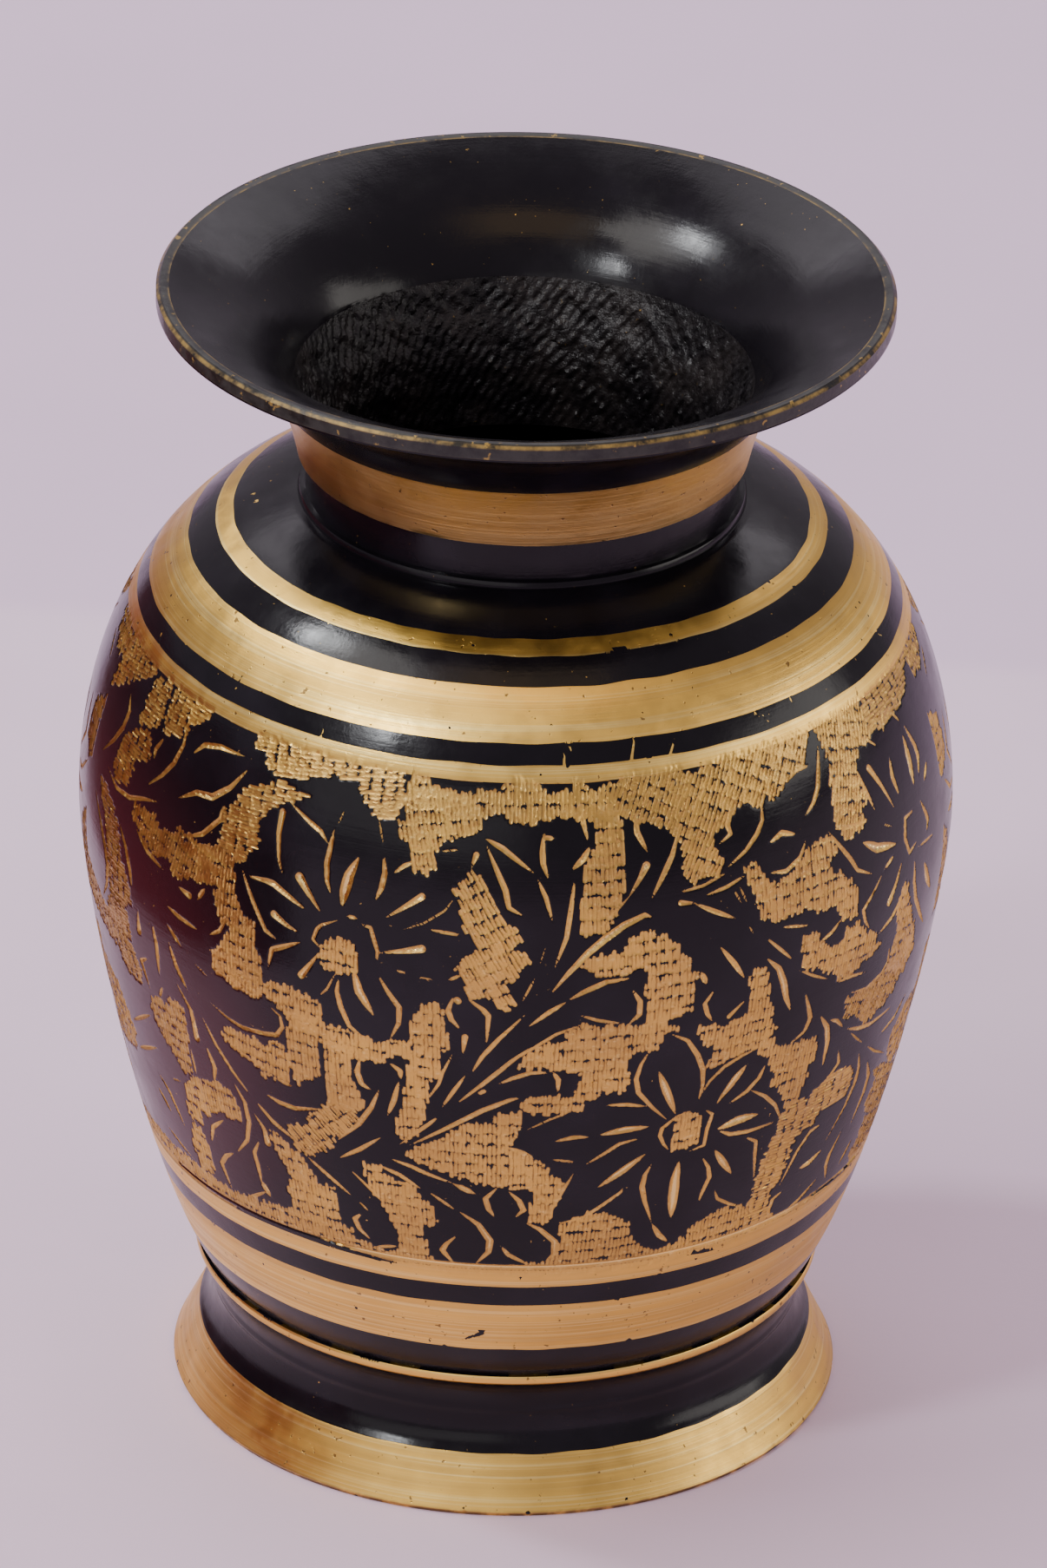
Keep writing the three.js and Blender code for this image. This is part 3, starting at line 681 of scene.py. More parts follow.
# The ground beside a sprig, on its right; the left side is its mirror image.
SPRIG_GROUND = [
    (90, 3, 124.6, 13, 124.6, 13, 121.5, 9, 121, 5, 122.8),
    (90, 8.5, 113, 13, 115, 13, 106, 11.5, 105, 8, 107.5),
    (90, 10, 95, 13, 97, 13, 83, 9, 82.5, 3, 81, 2.2, 86.5, 7.5, 89),
    (90, 2, 73, 8, 77, 13, 78, 13, 66, 9.5, 69, 4.5, 67.5),
    (90, 2.5, 59, 9, 64, 13, 62, 13, 52, 9.5, 54.5, 5.5, 58.5),
    (90, 2, 47.5, 6.5, 45.9, 13, 49, 13, 44, 2, 44),
]
# The chiselled centres of the two large flowers, as patches of ground.
FLOWER_HEARTS = [
    (90, -25.2, 98.5, -24, 100, -22, 100.2, -20.3, 99.2, -20, 97, -20.6, 95.4, -22.8, 94.9, -25, 95.6,
     -25.6, 97),
    (90, 23, 70.3, 24.5, 71.3, 26.5, 71, 27.3, 70, 27.5, 68.3, 27.5, 65.5, 25.5, 64.8, 23.3, 65, 22.8, 66.5,
     23.2, 68),
]

# Slivers of lacquer left in the strip at the field's foot: widest part, then start, middle and end.
SLIVERS = [
    (1.1, -68, 45, -30, 44.5, -13, 43.3),
    (0.6, 27, 43.5, 32, 43.4, 39, 43.2),
    (0.5, 52, 45, 60, 44.8, 70, 44.6),
]

# Half width and both ends of the larger chips of lacquer and nicks on the bands.
CHIPS = ((0.4, -6.4, 29.8, -3.6, 31.2), (0.35, 17, 138.9, 20, 138.8))
NICKS = (
    (0.2, 7, 126.8, 7.2, 128.8),
    (0.22, 17, 126.8, 18, 129.4),
    (0.2, 23, 126.8, 24.2, 128.6),
    (0.18, -86, 141.6, -112, 140.6),
)

TAPERED_CUTS = FLOWER_LEFT + FLOWER_RIGHT + FLOWER_EDGE + SPRAY + STEM_RIGHT + LOWER_SPRAY + STEM_LEFT
WEDGE_CUTS = (FLOWER_LEFT_WEDGES + FLOWER_EDGE_WEDGES + SPRAY_WEDGES + STEM_RIGHT_WEDGES
              + LOWER_SPRAY_WEDGES + STEM_LEFT_WEDGES)

# Slopes say how deep a cut goes for each millimetre in from its edge. Each straight of a cut is
# drawn between CUT_STAGES places, and its width grows from its points by the shares below.
CUT_SLOPE = 0.62
CUT_STAGES = 4
TAPER_POINT = 0.015
TAPER_FULLNESS = 0.62
WEDGE_POINT = 0.12
WEDGE_FULLNESS = 0.75

# Chisel rows. A pair is the lowest and highest value of a random one; widths are shares of the pitch.
HATCH_PITCH = 0.6
HATCH_PITCH_SPREAD = (0.88, 1.12)
HATCH_LENGTH = 1.9
HATCH_SLOPE = 0.45
HATCH_FLOOR = 0.05
HATCH_HALF_WIDTH = (0.44, 0.6)
HATCH_TAPER = (0.6, 1)
HATCH_LEAN = 0.08
ROW_END = (-0.4, 0.5)
JOINT_GAP = (0, 0.5)
LEAST_END_STROKE = 0.4
LEAST_STROKE = 0.1

# The strip at the field's foot, cut in overlapping lengths.
FOOT_LINE_HEIGHT = 44.8
FOOT_LINE_HALF = 0.55
FOOT_LINE_ANGLES = range(-96, 96, 6)
FOOT_LINE_LENGTH = 7
SLIVER_POINT = 0.02

# Wear. Slips are short scratches where the engraver's tool ran over the thin black line.
BODY_PITS_PER_MM = 5
BODY_PIT_RADII = (0.12, 0.3)
FOOT_PITS = 26
FOOT_PIT_HEIGHTS = (0.2, 1.2)
FOOT_PIT_RADII = (0.1, 0.45)
SLIPS = 16
SLIP_HEIGHTS = (127.2, 129)
SLIP_TURN = (-2, 2)
SLIP_RISE = (0.4, 1.2)
SLIP_HALF_WIDTHS = (0.05, 0.16)
WEAR_SLOPE = 0.2


def pairs(numbers):
    """Angles and heights, two by two."""
    return list(zip(numbers[::2], numbers[1::2]))


def share_of_width(place, blunt):
    """Share of a cut's full width at a place from 0 to 1 along it."""
    if blunt:
        return WEDGE_POINT + (1 - WEDGE_POINT) * place ** WEDGE_FULLNESS
    return math.sin(math.pi * min(max(place, TAPER_POINT), 1 - TAPER_POINT)) ** TAPER_FULLNESS


def engrave(paint, cuts, blunt=False, turn=0, side=1):
    """Draws each cut as a chain of short tapered ones. side -1 mirrors the design."""
    for width, *numbers in cuts:
        points = [(turn + side * angle, height) for angle, height in pairs(numbers)]
        count = len(points) - 1
        for index, (start, end) in enumerate(zip(points, points[1:])):
            stages = np.linspace(0, 1, CUT_STAGES)
            for here, there in zip(stages, stages[1:]):
                halves = [width / 2 * share_of_width((index + t) / count, blunt) for t in (here, there)]
                a, b = ([s + (e - s) * t for s, e in zip(start, end)] for t in (here, there))
                paint.chisel(a, b, *halves, CUT_SLOPE)


def hatch(paint, patches, turn=0, side=1):
    """Clears each patch of ground with rows of short chisel strokes side by side."""
    for direction, *numbers in patches:
        corner = [(turn + side * angle, height) for angle, height in pairs(numbers)]
        middle = sum(angle for angle, _ in corner) / len(corner)
        surface = np.array([paint.on_surface(*c, middle) for c in corner])
        tilt = math.radians(direction) if side > 0 else math.pi - math.radians(direction)
        along = np.array([math.cos(tilt), math.sin(tilt)])
        across = np.array([-along[1], along[0]])
        u, v = surface @ along, surface @ across
        line = v.min() + HATCH_PITCH / 2
        while line < v.max():
            edges = [u[i - 1] + (u[i] - u[i - 1]) * (line - v[i - 1]) / (v[i] - v[i - 1])
                     for i in range(len(u)) if (v[i - 1] > line) != (v[i] > line)]
            for low, high in zip(sorted(edges)[::2], sorted(edges)[1::2]):
                chisel_row(paint, along, across, middle, line, low, high)
            line += HATCH_PITCH * random.uniform(*HATCH_PITCH_SPREAD)


def chisel_row(paint, along, across, middle, line, low, high):
    """Strokes end to end along one line of hatching, meeting level with those of the lines beside
    it. The outer ends are ragged, and now and then lacquer is left where two strokes meet."""
    first_joint = math.ceil((low + LEAST_END_STROKE) / HATCH_LENGTH)
    joints = HATCH_LENGTH * np.arange(first_joint, (high - LEAST_END_STROKE) / HATCH_LENGTH)
    starts = [low - random.uniform(*ROW_END), *(joints + random.uniform(*JOINT_GAP, len(joints)))]
    ends = [*(joints - random.uniform(*JOINT_GAP, len(joints))), high + random.uniform(*ROW_END)]
    for start, end in zip(starts, ends):
        half = HATCH_PITCH * random.uniform(*HATCH_HALF_WIDTH)
        lean = random.uniform(-HATCH_LEAN, HATCH_LEAN)
        first = paint.place(*(along * start + across * (line - lean)), middle)
        last = paint.place(*(along * max(end, start + LEAST_STROKE) + across * (line + lean)), middle)
        paint.chisel(first, last, half, half * random.uniform(*HATCH_TAPER), HATCH_SLOPE, HATCH_FLOOR)


# ---------------------------------------------------------------- meshes

def snap_to_edges(paint):
    """Fractional rows and columns that move the points nearest to an edge between brass and
    lacquer onto it, so that the edge runs smoothly between faces."""
    down = np.gradient(paint.cut, axis=0)
    across = (np.roll(paint.cut, -1, 1) - np.roll(paint.cut, 1, 1)) / 2
    steep = down ** 2 + across ** 2 + 1e-9
    shift_rows, shift_columns = -paint.cut * down / steep, -paint.cut * across / steep
    near = (np.abs(shift_rows) < 0.5) & (np.abs(shift_columns) < 0.5)
    near[0] = near[-1] = False
    rows, columns = np.indices(paint.cut.shape, dtype=float)
    return rows + near * shift_rows, columns + near * shift_columns, np.where(near, 0, paint.cut)


def painted_grid(outline, paint, first, last):
    """Radius, height, turn and cut of every point on part of a painted outline."""
    rows, columns, cut = snap_to_edges(paint)
    whole = np.arange(len(outline))
    radius = np.interp(rows, whole, outline[:, 0])
    height = np.interp(rows, whole, outline[:, 1])
    slope = np.gradient(outline, axis=0)
    slope /= np.hypot(*slope.T)[:, None]
    radius -= paint.depth * slope[:, 1][:, None]
    height += paint.depth * slope[:, 0][:, None]
    turn = columns * 2 * math.pi / paint.cut.shape[1]
    return [values[first:last + 1] for values in (radius, height, turn, cut)]


def plain_grid(points, columns, roughness=0.0):
    """The same for a stretch of outline without paint, with a cast skin where it is rough."""
    points = np.array(points, float)
    turn = np.broadcast_to(np.arange(columns) * 2 * math.pi / columns, (len(points), columns))
    radius = np.repeat(points[:, :1], columns, axis=1)
    height = np.repeat(points[:, 1:], columns, axis=1)
    if roughness:
        angle, along = np.degrees(turn), arc_length(points)[:, None]
        middle = points[:, 0].mean()
        bumps = sum(share * waves(angle, along, size, middle) for size, share in SKIN_WAVES)
        ends = np.minimum(1, np.minimum(along, along[-1] - along) / SKIN_FADE)
        radius = radius + roughness * bumps * ends
    return radius, height, turn, np.zeros_like(radius)


def point_numbers(on_axis, columns):
    """The mesh's number for every point of the grid. A row on the axis is one point."""
    starts = np.concatenate([[0], np.cumsum(np.where(on_axis, 1, columns))[:-1]])
    return starts[:, None] + np.arange(columns)[None, :] * ~on_axis[:, None]


def cell_corners(values, near, far):
    """Values at the four corners of every cell of the grid, in order round the cell."""
    right = np.roll(values, -1, axis=1)
    return values[near], right[near], right[far], values[far]


def split_cells(corner_values, rising):
    """The values at the corners of two triangles for every cell, which is cut along one diagonal
    where rising is true and along the other elsewhere."""
    low_left, low_right, high_right, high_left = corner_values
    third = np.where(rising, high_right, high_left)
    fourth = np.where(rising, low_left, low_right)
    return np.stack([np.stack([low_left, low_right, third], -1),
                     np.stack([fourth, high_right, high_left], -1)], axis=2)


def turned_mesh(name, parts):
    """A closed mesh of revolution from (grid, finish) parts, each starting where the last ends.
    A painted face is brass where its corners lie more inside brass than outside."""
    radius, height, turn, cut = (np.vstack([grid[k] for grid, _ in parts]) for k in range(4))
    finish = np.concatenate([np.full(len(grid[0]), number) for grid, number in parts])
    rows, columns = radius.shape
    on_axis = radius[:, 0] < 1e-6
    near = np.arange(rows - 1 if on_axis[0] else rows)
    far = (near + 1) % rows

    cuts = cell_corners(cut, near, far)
    rising = abs(cuts[0]) + abs(cuts[2]) <= abs(cuts[1]) + abs(cuts[3])
    bare = split_cells(cuts, rising).sum(-1) > 0
    middle = (height[near] + height[far]) / 2
    brass = np.where((middle > FIELD[0]) & (middle < FIELD[1]), CHISELLED, TURNED)[..., None]
    plain = finish[near][:, None, None]
    finishes = np.where(plain == PAINTED, np.where(bare, brass, LACQUER), plain)

    numbers = cell_corners(point_numbers(on_axis, columns), near, far)
    triangles = split_cells(numbers, rising).reshape(-1, 3)
    real = (np.diff(np.sort(triangles, axis=1), axis=1) > 0).all(axis=1)
    places = np.stack([radius * np.sin(turn), -radius * np.cos(turn), height], axis=-1)
    keep = np.ones((rows, columns), bool)
    keep[on_axis, 1:] = False
    return mesh_object(name, places[keep] * MM, triangles[real], finishes.reshape(-1)[real], cut[keep])


def mesh_object(name, places, triangles, finishes, cut):
    """A smooth-shaded object whose "cut" attribute tells the materials where its edges are."""
    mesh = bpy.data.meshes.new(name)
    mesh.vertices.add(len(places))
    mesh.vertices.foreach_set("co", places.astype(np.float32).ravel())
    mesh.loops.add(triangles.size)
    mesh.loops.foreach_set("vertex_index", triangles.astype(np.int32).ravel())
    mesh.polygons.add(len(triangles))
    mesh.polygons.foreach_set("loop_start", np.arange(0, triangles.size, 3, dtype=np.int32))
    mesh.polygons.foreach_set("material_index", finishes.astype(np.int32))
    mesh.polygons.foreach_set("use_smooth", np.ones(len(triangles), bool))
    mesh.update(calc_edges=True)
    layer = mesh.attributes.new("cut", "FLOAT", "POINT")
    layer.data.foreach_set("value", cut.astype(np.float32))
    mesh.set_sharp_from_angle(angle=math.radians(SHARP_ANGLE))
    mesh.validate()
    piece = bpy.data.objects.new(name, mesh)
    bpy.context.collection.objects.link(piece)
    return piece


# ---------------------------------------------------------------- the four castings

def body_paint(outline):
    """Bands, flowers and ground on the outside of the body."""
    paint = Paint(outline, BODY_COLUMNS)
    wobble = paint.wobble(9, 0.05)
    for low, high in BODY_BANDS:
        paint.band(low, high, wobble)
    for turn, side in ((0, 1), (180, -1)):
        hatch(paint, GROUND, turn, side)
        hatch(paint, FLOWER_HEARTS, turn, side)
        engrave(paint, TAPERED_CUTS, False, turn, side)
        engrave(paint, WEDGE_CUTS, True, turn, side)
        foot_line(paint, turn, side)
    for turn in (90, 270):
        for side in (1, -1):
            hatch(paint, SPRIG_GROUND, turn, side)
        engrave(paint, SPRIG, False, turn)
    wear(paint)
    return paint


def foot_line(paint, turn, side):
    """The strip where the field runs into the plain band, with slivers of lacquer left between."""
    for angle in FOOT_LINE_ANGLES:
        ends = [(turn + side * a, FOOT_LINE_HEIGHT) for a in (angle, angle + FOOT_LINE_LENGTH)]
        paint.chisel(*sorted(ends), FOOT_LINE_HALF, FOOT_LINE_HALF, HATCH_SLOPE, HATCH_FLOOR)
    for widest, *points in SLIVERS:
        start, middle, end = [(turn + side * angle, height) for angle, height in pairs(points)]
        paint.leave(start, middle, SLIVER_POINT, widest / 2)
        paint.leave(middle, end, widest / 2, SLIVER_POINT)


def wear(paint):
    """Casting pits that kept their lacquer, slips of the tool, chips and nicks."""
    for low, high in BODY_BANDS:
        for _ in range(round(BODY_PITS_PER_MM * (high - low))):
            paint.pit((low, high), BODY_PIT_RADII)
    for angle in random.uniform(0, 360, SLIPS):
        height = random.uniform(*SLIP_HEIGHTS)
        end = (angle + random.uniform(*SLIP_TURN), height + random.uniform(*SLIP_RISE))
        paint.chisel((angle, height), end, *SLIP_HALF_WIDTHS, WEAR_SLOPE)
    for half, *places in CHIPS:
        paint.leave(*pairs(places), half / 2, half)
    for half, *places in NICKS:
        paint.chisel(*pairs(places), half, half / 2, WEAR_SLOPE)


def body_outside():
    """The body's outline from its foot to the neck's seat, and the row of the belly seam."""
    bowl = curve(BODY_FOOT, BOWL_PULLS, BELLY, BODY_CURVE_STEPS)
    shoulder = curve(BELLY, SHOULDER_PULLS, SEAT, BODY_CURVE_STEPS)
    bowl = split_spacing(bowl, FIELD[0], BELLY[1])
    shoulder = split_spacing(shoulder, BELLY[1], FIELD[1])
    return np.vstack([bowl, shoulder[1:]]), len(bowl) - 1


def upper_body(outline, seam, paint):
    """The shoulder, from the belly seam to the land that the neck sits on."""
    outside = painted_grid(outline, paint, seam, len(outline) - 1)
    inside = inside_of(resample(outline[seam:], HIDDEN_SPACING), WALL)[::-1]
    land = corners([SEAT, (NECK_OPENING, SEAT[1]), (NECK_OPENING, NECK_LAND),
                    (COLLAR_RADIUS, NECK_LAND)], HIDDEN_SPACING)
    lap = corners([(BELLY[0] - WALL, LAP_TOP), (LAP_RADIUS + BRAZE_GAP, LAP_TOP),
                   (LAP_RADIUS + BRAZE_GAP, BELLY[1])], JOINT_SPACING)
    return turned_mesh("upper_casting", [
        (outside, PAINTED),
        (plain_grid(land[1:], BODY_COLUMNS), CAST),
        (plain_grid(between(inside, *UPPER_INSIDE), BODY_COLUMNS, BODY_SKIN), CAST),
        (plain_grid(lap, BODY_COLUMNS), CAST),
    ])


def lower_body(outline, seam, paint):
    """The bowl, from the boss in the foot to the lip that laps inside the shoulder."""
    outside = painted_grid(outline, paint, 0, seam)
    base = corners([(0, FLOOR_LOW), (BOSS_RADIUS, FLOOR_LOW), (BOSS_RADIUS, FOOT_SEAT),
                    (BODY_FOOT[0] - BODY_FOOT_STEP, FOOT_SEAT)], JOINT_SPACING)
    lap = corners([(LAP_RADIUS, BELLY[1]), (LAP_RADIUS, LAP_TOP), (BELLY[0] - WALL, LAP_TOP)], JOINT_SPACING)
    inside = inside_of(resample(outline[:seam + 1], HIDDEN_SPACING), WALL)[::-1]
    floor = corners([(BOSS_RADIUS, FLOOR_TOP + FLOOR_EDGE_RISE), (BOSS_RADIUS - FLOOR_EDGE_WIDTH, FLOOR_TOP),
                     (0, FLOOR_TOP)], JOINT_SPACING)
    return turned_mesh("lower_casting", [
        (plain_grid(base, BODY_COLUMNS), CAST),
        (outside, PAINTED),
        (plain_grid(lap, BODY_COLUMNS), CAST),
        (plain_grid(between(inside, *LOWER_INSIDE), BODY_COLUMNS, BODY_SKIN), CAST),
        (plain_grid(floor, BODY_COLUMNS), CAST),
    ])


def mouth():
    """The trumpet mouth and neck, with a rough cast throat below the turned flare."""
    collar_top = SEAT[1] + COLLAR_HEIGHT
    lip_low = (RIM[0], RIM[1] - LIP_DEPTH)
    lip_inner = (RIM[0] - RIM_WIDTH, RIM[1])
    neck = corners([(COLLAR_RADIUS, SEAT[1]), (COLLAR_RADIUS, SEAT[1] + COLLAR_CHAMFER),
                    (COLLAR_RADIUS - COLLAR_CHAMFER, collar_top), (NECK_RADIUS, collar_top),
                    (NECK_RADIUS, BAND_LOW[1] - BAND_UNDERCUT), BAND_LOW], PLAIN_SPACING)
    band = resample(curve(BAND_LOW, BAND_PULLS, BAND_TOP), PLAIN_SPACING)
    flare = resample(curve(BAND_TOP, FLARE_PULLS, lip_low), FLARE_SPACING)
    outside = np.vstack([neck[:-1], band[:-1], flare])
    paint = Paint(outside, RING_COLUMNS)
    for low, high in NECK_BANDS:
        paint.band(low, high, paint.wobble(12, 0.03))
    lip = corners([lip_low, (RIM[0], RIM[1] - LIP_CHAMFER), (RIM[0] - LIP_CHAMFER, RIM[1]), lip_inner],
                  LIP_SPACING)
    inside = resample(curve(lip_inner, MOUTH_PULLS, THROAT), MOUTH_SPACING)
    throat = corners([THROAT, BORE_TOP, BORE, (BORE[0], SPIGOT_LOW)], FLARE_SPACING)
    spigot = corners([(BORE[0], SPIGOT_LOW), (SPIGOT_RADIUS, SPIGOT_LOW), (SPIGOT_RADIUS, SEAT[1]),
                      (COLLAR_RADIUS, SEAT[1])], SPIGOT_SPACING)
    return turned_mesh("mouth", [
        (painted_grid(outside, paint, 0, len(outside) - 1), PAINTED),
        (plain_grid(lip[1:], RING_COLUMNS), LIP),
        (plain_grid(inside[1:], RING_COLUMNS), LACQUER),
        (plain_grid(throat[1:], RING_COLUMNS, THROAT_SKIN), CAST),
        (plain_grid(spigot[1:-1], RING_COLUMNS), CAST),
    ])


def foot():
    """The foot ring: bead, hollow cove with a faint ridge, and spreading skirt."""
    skirt_low = (SKIRT[0] - SKIRT_CHAMFER, 0)
    skirt = corners([skirt_low, SKIRT, COVE_LOW], PLAIN_SPACING)
    cove = resample(curve(COVE_LOW, COVE_PULLS, BEAD_LOW), PLAIN_SPACING)
    bead = resample(curve(BEAD_LOW, BEAD_PULLS, BEAD_TOP), BEAD_SPACING)
    outside = np.vstack([skirt[:-1], cove[:-1], bead])
    from_ridge = (outside[:, 1] - COVE_RIDGE_HEIGHT) / COVE_RIDGE_WIDTH
    outside[:, 0] += COVE_RIDGE_SIZE * np.exp(-from_ridge ** 2)
    paint = Paint(outside, RING_COLUMNS)
    for low, high in FOOT_BANDS:
        paint.band(low, high, paint.wobble(10, 0.05))
    for _ in range(FOOT_PITS):
        paint.pit(FOOT_PIT_HEIGHTS, FOOT_PIT_RADII)
    inside = corners([BEAD_TOP, (FOOT_BORE[0], FOOT_SEAT), FOOT_BORE, FOOT_INSIDE,
                      (REST_INNER_RADIUS, 0), skirt_low], FOOT_INSIDE_SPACING)
    return turned_mesh("foot", [
        (painted_grid(outside, paint, 0, len(outside) - 1), PAINTED),
        (plain_grid(inside[1:-1], RING_COLUMNS), CAST),
    ])


# ---------------------------------------------------------------- materials

LACQUER_BLACK = (0.0042, 0.0034, 0.005)
LACQUER_DUSTY = (0.014, 0.012, 0.017)
PAINTED_MAROON_SHEEN = (0.045, 0.008, 0.011)
LACQUER_RUBBED = ((0.010, 0.010, 0.009), (0.030, 0.030, 0.026))
CAST_BLACK = ((0.006, 0.005, 0.006), (0.016, 0.013, 0.013))
BRASS = (0.86, 0.545, 0.115)
BRASS_DULL = (0.56, 0.345, 0.09)
BRASS_BRIGHT = (0.97, 0.77, 0.29)
BRASS_DARKENED = (0.40, 0.31, 0.16)
# Brown for stains and pits, and for painted shade between chisel strokes.
BROWN_STAIN_AND_SHADE = (0.10, 0.05, 0.028)
FILLER_BRASS = ((0.72, 0.56, 0.30), (0.20, 0.13, 0.07))
CLOTH_RED = ((0.17, 0.035, 0.045), (0.24, 0.055, 0.065))
TABLE_TONE = (0.79, 0.61, 0.78)
GROUND_TONE = (0.72, 0.545, 0.735)
ROOM_TONE = (0.44, 0.38, 0.44)

# Middle of the painted maroon sheen that stands in for reflected light on the lacquer's left, and
# how far from there it fades out and is at full strength.
MAROON_SHEEN_MIDDLE = (-0.062, -0.024, 0.072)
MAROON_SHEEN_REACH = (0.052, 0.022)
# Heights over which the band on the neck, under the flare, turns darker and duller, and the skirt's low edge
# stained.
NECK_DARKENING = (0.146, 0.149)
LOW_STAIN = (0.0012, 0.0002)
# The table's far edge: how much it slants, and how far back it starts and ends.
TABLE_SLANT = -0.09
TABLE_END = (0.231, 0.241)


class Shader:
    """Short calls that add nodes to one material."""

    def __init__(self, name):
        self.material = bpy.data.materials.new(name)
        self.material.use_nodes = True
        self.tree = self.material.node_tree
        self.surface = self.tree.nodes["Principled BSDF"]
        self.place = self.node("ShaderNodeTexCoord").outputs["Object"]

    def node(self, kind, **settings):
        """A new node with its settings."""
        made = self.tree.nodes.new(kind)
        for key, value in settings.items():
            setattr(made, key, value)
        return made

    def link(self, source, target):
        """Joins an output to an input."""
        self.tree.links.new(source, target)

    def feed(self, socket, value):
        """Gives an input a link, a colour or a number."""
        if isinstance(value, bpy.types.NodeSocket):
            self.link(value, socket)
        elif isinstance(value, tuple):
            socket.default_value = (*value, 1)
        else:
            socket.default_value = value

    def math(self, operation, first, second=0.0):
        """Arithmetic on two values."""
        made = self.node("ShaderNodeMath", operation=operation)
        self.feed(made.inputs[0], first)
        self.feed(made.inputs[1], second)
        return made.outputs[0]

    def stretched(self, x, y, z):
        """Object coordinates scaled along each axis."""
        made = self.node("ShaderNodeMapping")
        self.link(self.place, made.inputs["Vector"])
        made.inputs["Scale"].default_value = (x, y, z)
        return made.outputs["Vector"]

    def noise(self, scale, detail=3.0, roughness=0.55, vector=None):
        """Cloudy noise from 0 to 1, with about scale clouds to a metre."""
        made = self.node("ShaderNodeTexNoise")
        self.link(vector or self.place, made.inputs["Vector"])
        made.inputs["Scale"].default_value = scale
        made.inputs["Detail"].default_value = detail
        made.inputs["Roughness"].default_value = roughness
        return made.outputs["Fac"]

    def steps(self, value, low, high, bottom=0.0, top=1.0):
        """value, from low to high, spread smoothly over bottom to top."""
        made = self.node("ShaderNodeMapRange", interpolation_type="SMOOTHSTEP")
        self.link(value, made.inputs["Value"])
        for socket, number in zip(("From Min", "From Max", "To Min", "To Max"), (low, high, bottom, top)):
            made.inputs[socket].default_value = number
        return made.outputs["Result"]

    def blend(self, share, first, second):
        """Two colours mixed by a share from 0 to 1."""
        made = self.node("ShaderNodeMix", data_type="RGBA")
        self.feed(made.inputs["Factor"], share)
        self.feed(made.inputs[6], first)
        self.feed(made.inputs[7], second)
        return made.outputs[2]

    def cover(self, below, colour, mask, strength):
        """A colour laid over another where the mask is 1, at part strength."""
        return self.blend(self.math("MULTIPLY", mask, strength), below, colour)

    def attribute(self, name):
        """A number stored at every point of the mesh."""
        return self.node("ShaderNodeAttribute", attribute_name=name).outputs["Fac"]

    def coordinate(self, axis):
        """Distance along one axis of the object."""
        parts = self.node("ShaderNodeSeparateXYZ")
        self.link(self.place, parts.inputs[0])
        return parts.outputs[axis]

    def distance_from(self, point):
        """Distance from a place on the object."""
        made = self.node("ShaderNodeVectorMath", operation="DISTANCE")
        self.link(self.place, made.inputs[0])
        made.inputs[1].default_value = point
        return made.outputs["Value"]

    def bump(self, height, distance, strength=1.0, below=None):
        """Surface relief of a height from 0 to 1, as deep as distance, laid over other relief."""
        made = self.node("ShaderNodeBump")
        self.link(height, made.inputs["Height"])
        made.inputs["Distance"].default_value = distance
        made.inputs["Strength"].default_value = strength
        if below:
            self.link(below, made.inputs["Normal"])
        return made.outputs["Normal"]

    def finish(self, colour, roughness, metallic, normal=None, **plain):
        """Fills in the surface and gives back the material. plain sets numbers that don't vary."""
        sockets = self.surface.inputs
        self.feed(sockets["Base Color"], colour)
        self.feed(sockets["Roughness"], roughness)
        self.feed(sockets["Metallic"], metallic)
        if normal:
            self.link(normal, sockets["Normal"])
        for name, value in plain.items():
            sockets[name.replace("_", " ")].default_value = value
        return self.material


def lacquer():
    """Glossy black lacquer, thinly dusty, with orange peel, turning rings and worn specks. On the
    left a painted maroon sheen stands in for reflected light."""
    s = Shader("black_lacquer")
    dust = s.steps(s.noise(45, 5), 0.45, 0.75)
    colour = s.cover(LACQUER_BLACK, LACQUER_DUSTY, dust, 0.6)
    # Painted reflection: a maroon sheen on the left side, laid into the lacquer's colour.
    maroon_sheen = s.steps(s.distance_from(MAROON_SHEEN_MIDDLE), *MAROON_SHEEN_REACH)
    colour = s.blend(maroon_sheen, colour, PAINTED_MAROON_SHEEN)
    specks = s.steps(s.noise(1500, 2), 0.735, 0.76)
    worn = s.math("MULTIPLY", specks, s.steps(s.noise(60, 3), 0.5, 0.62))
    colour = s.blend(worn, colour, BRASS_DULL)
    roughness = s.steps(s.noise(110, 5, 0.65), 0.3, 0.75, 0.14, 0.28)
    rings = s.bump(s.noise(1, 3, 0.7, s.stretched(9, 9, 1500)), 0.00004, 0.4)
    peel = s.bump(s.noise(160, 2), 0.00012, 0.5, rings)
    grit = s.bump(s.noise(1800, 3, 0.7), 0.00003, 0.5, peel)
    return s.finish(colour, roughness, s.math("MULTIPLY", worn, 0.8), grit, Specular_IOR_Level=0.22)


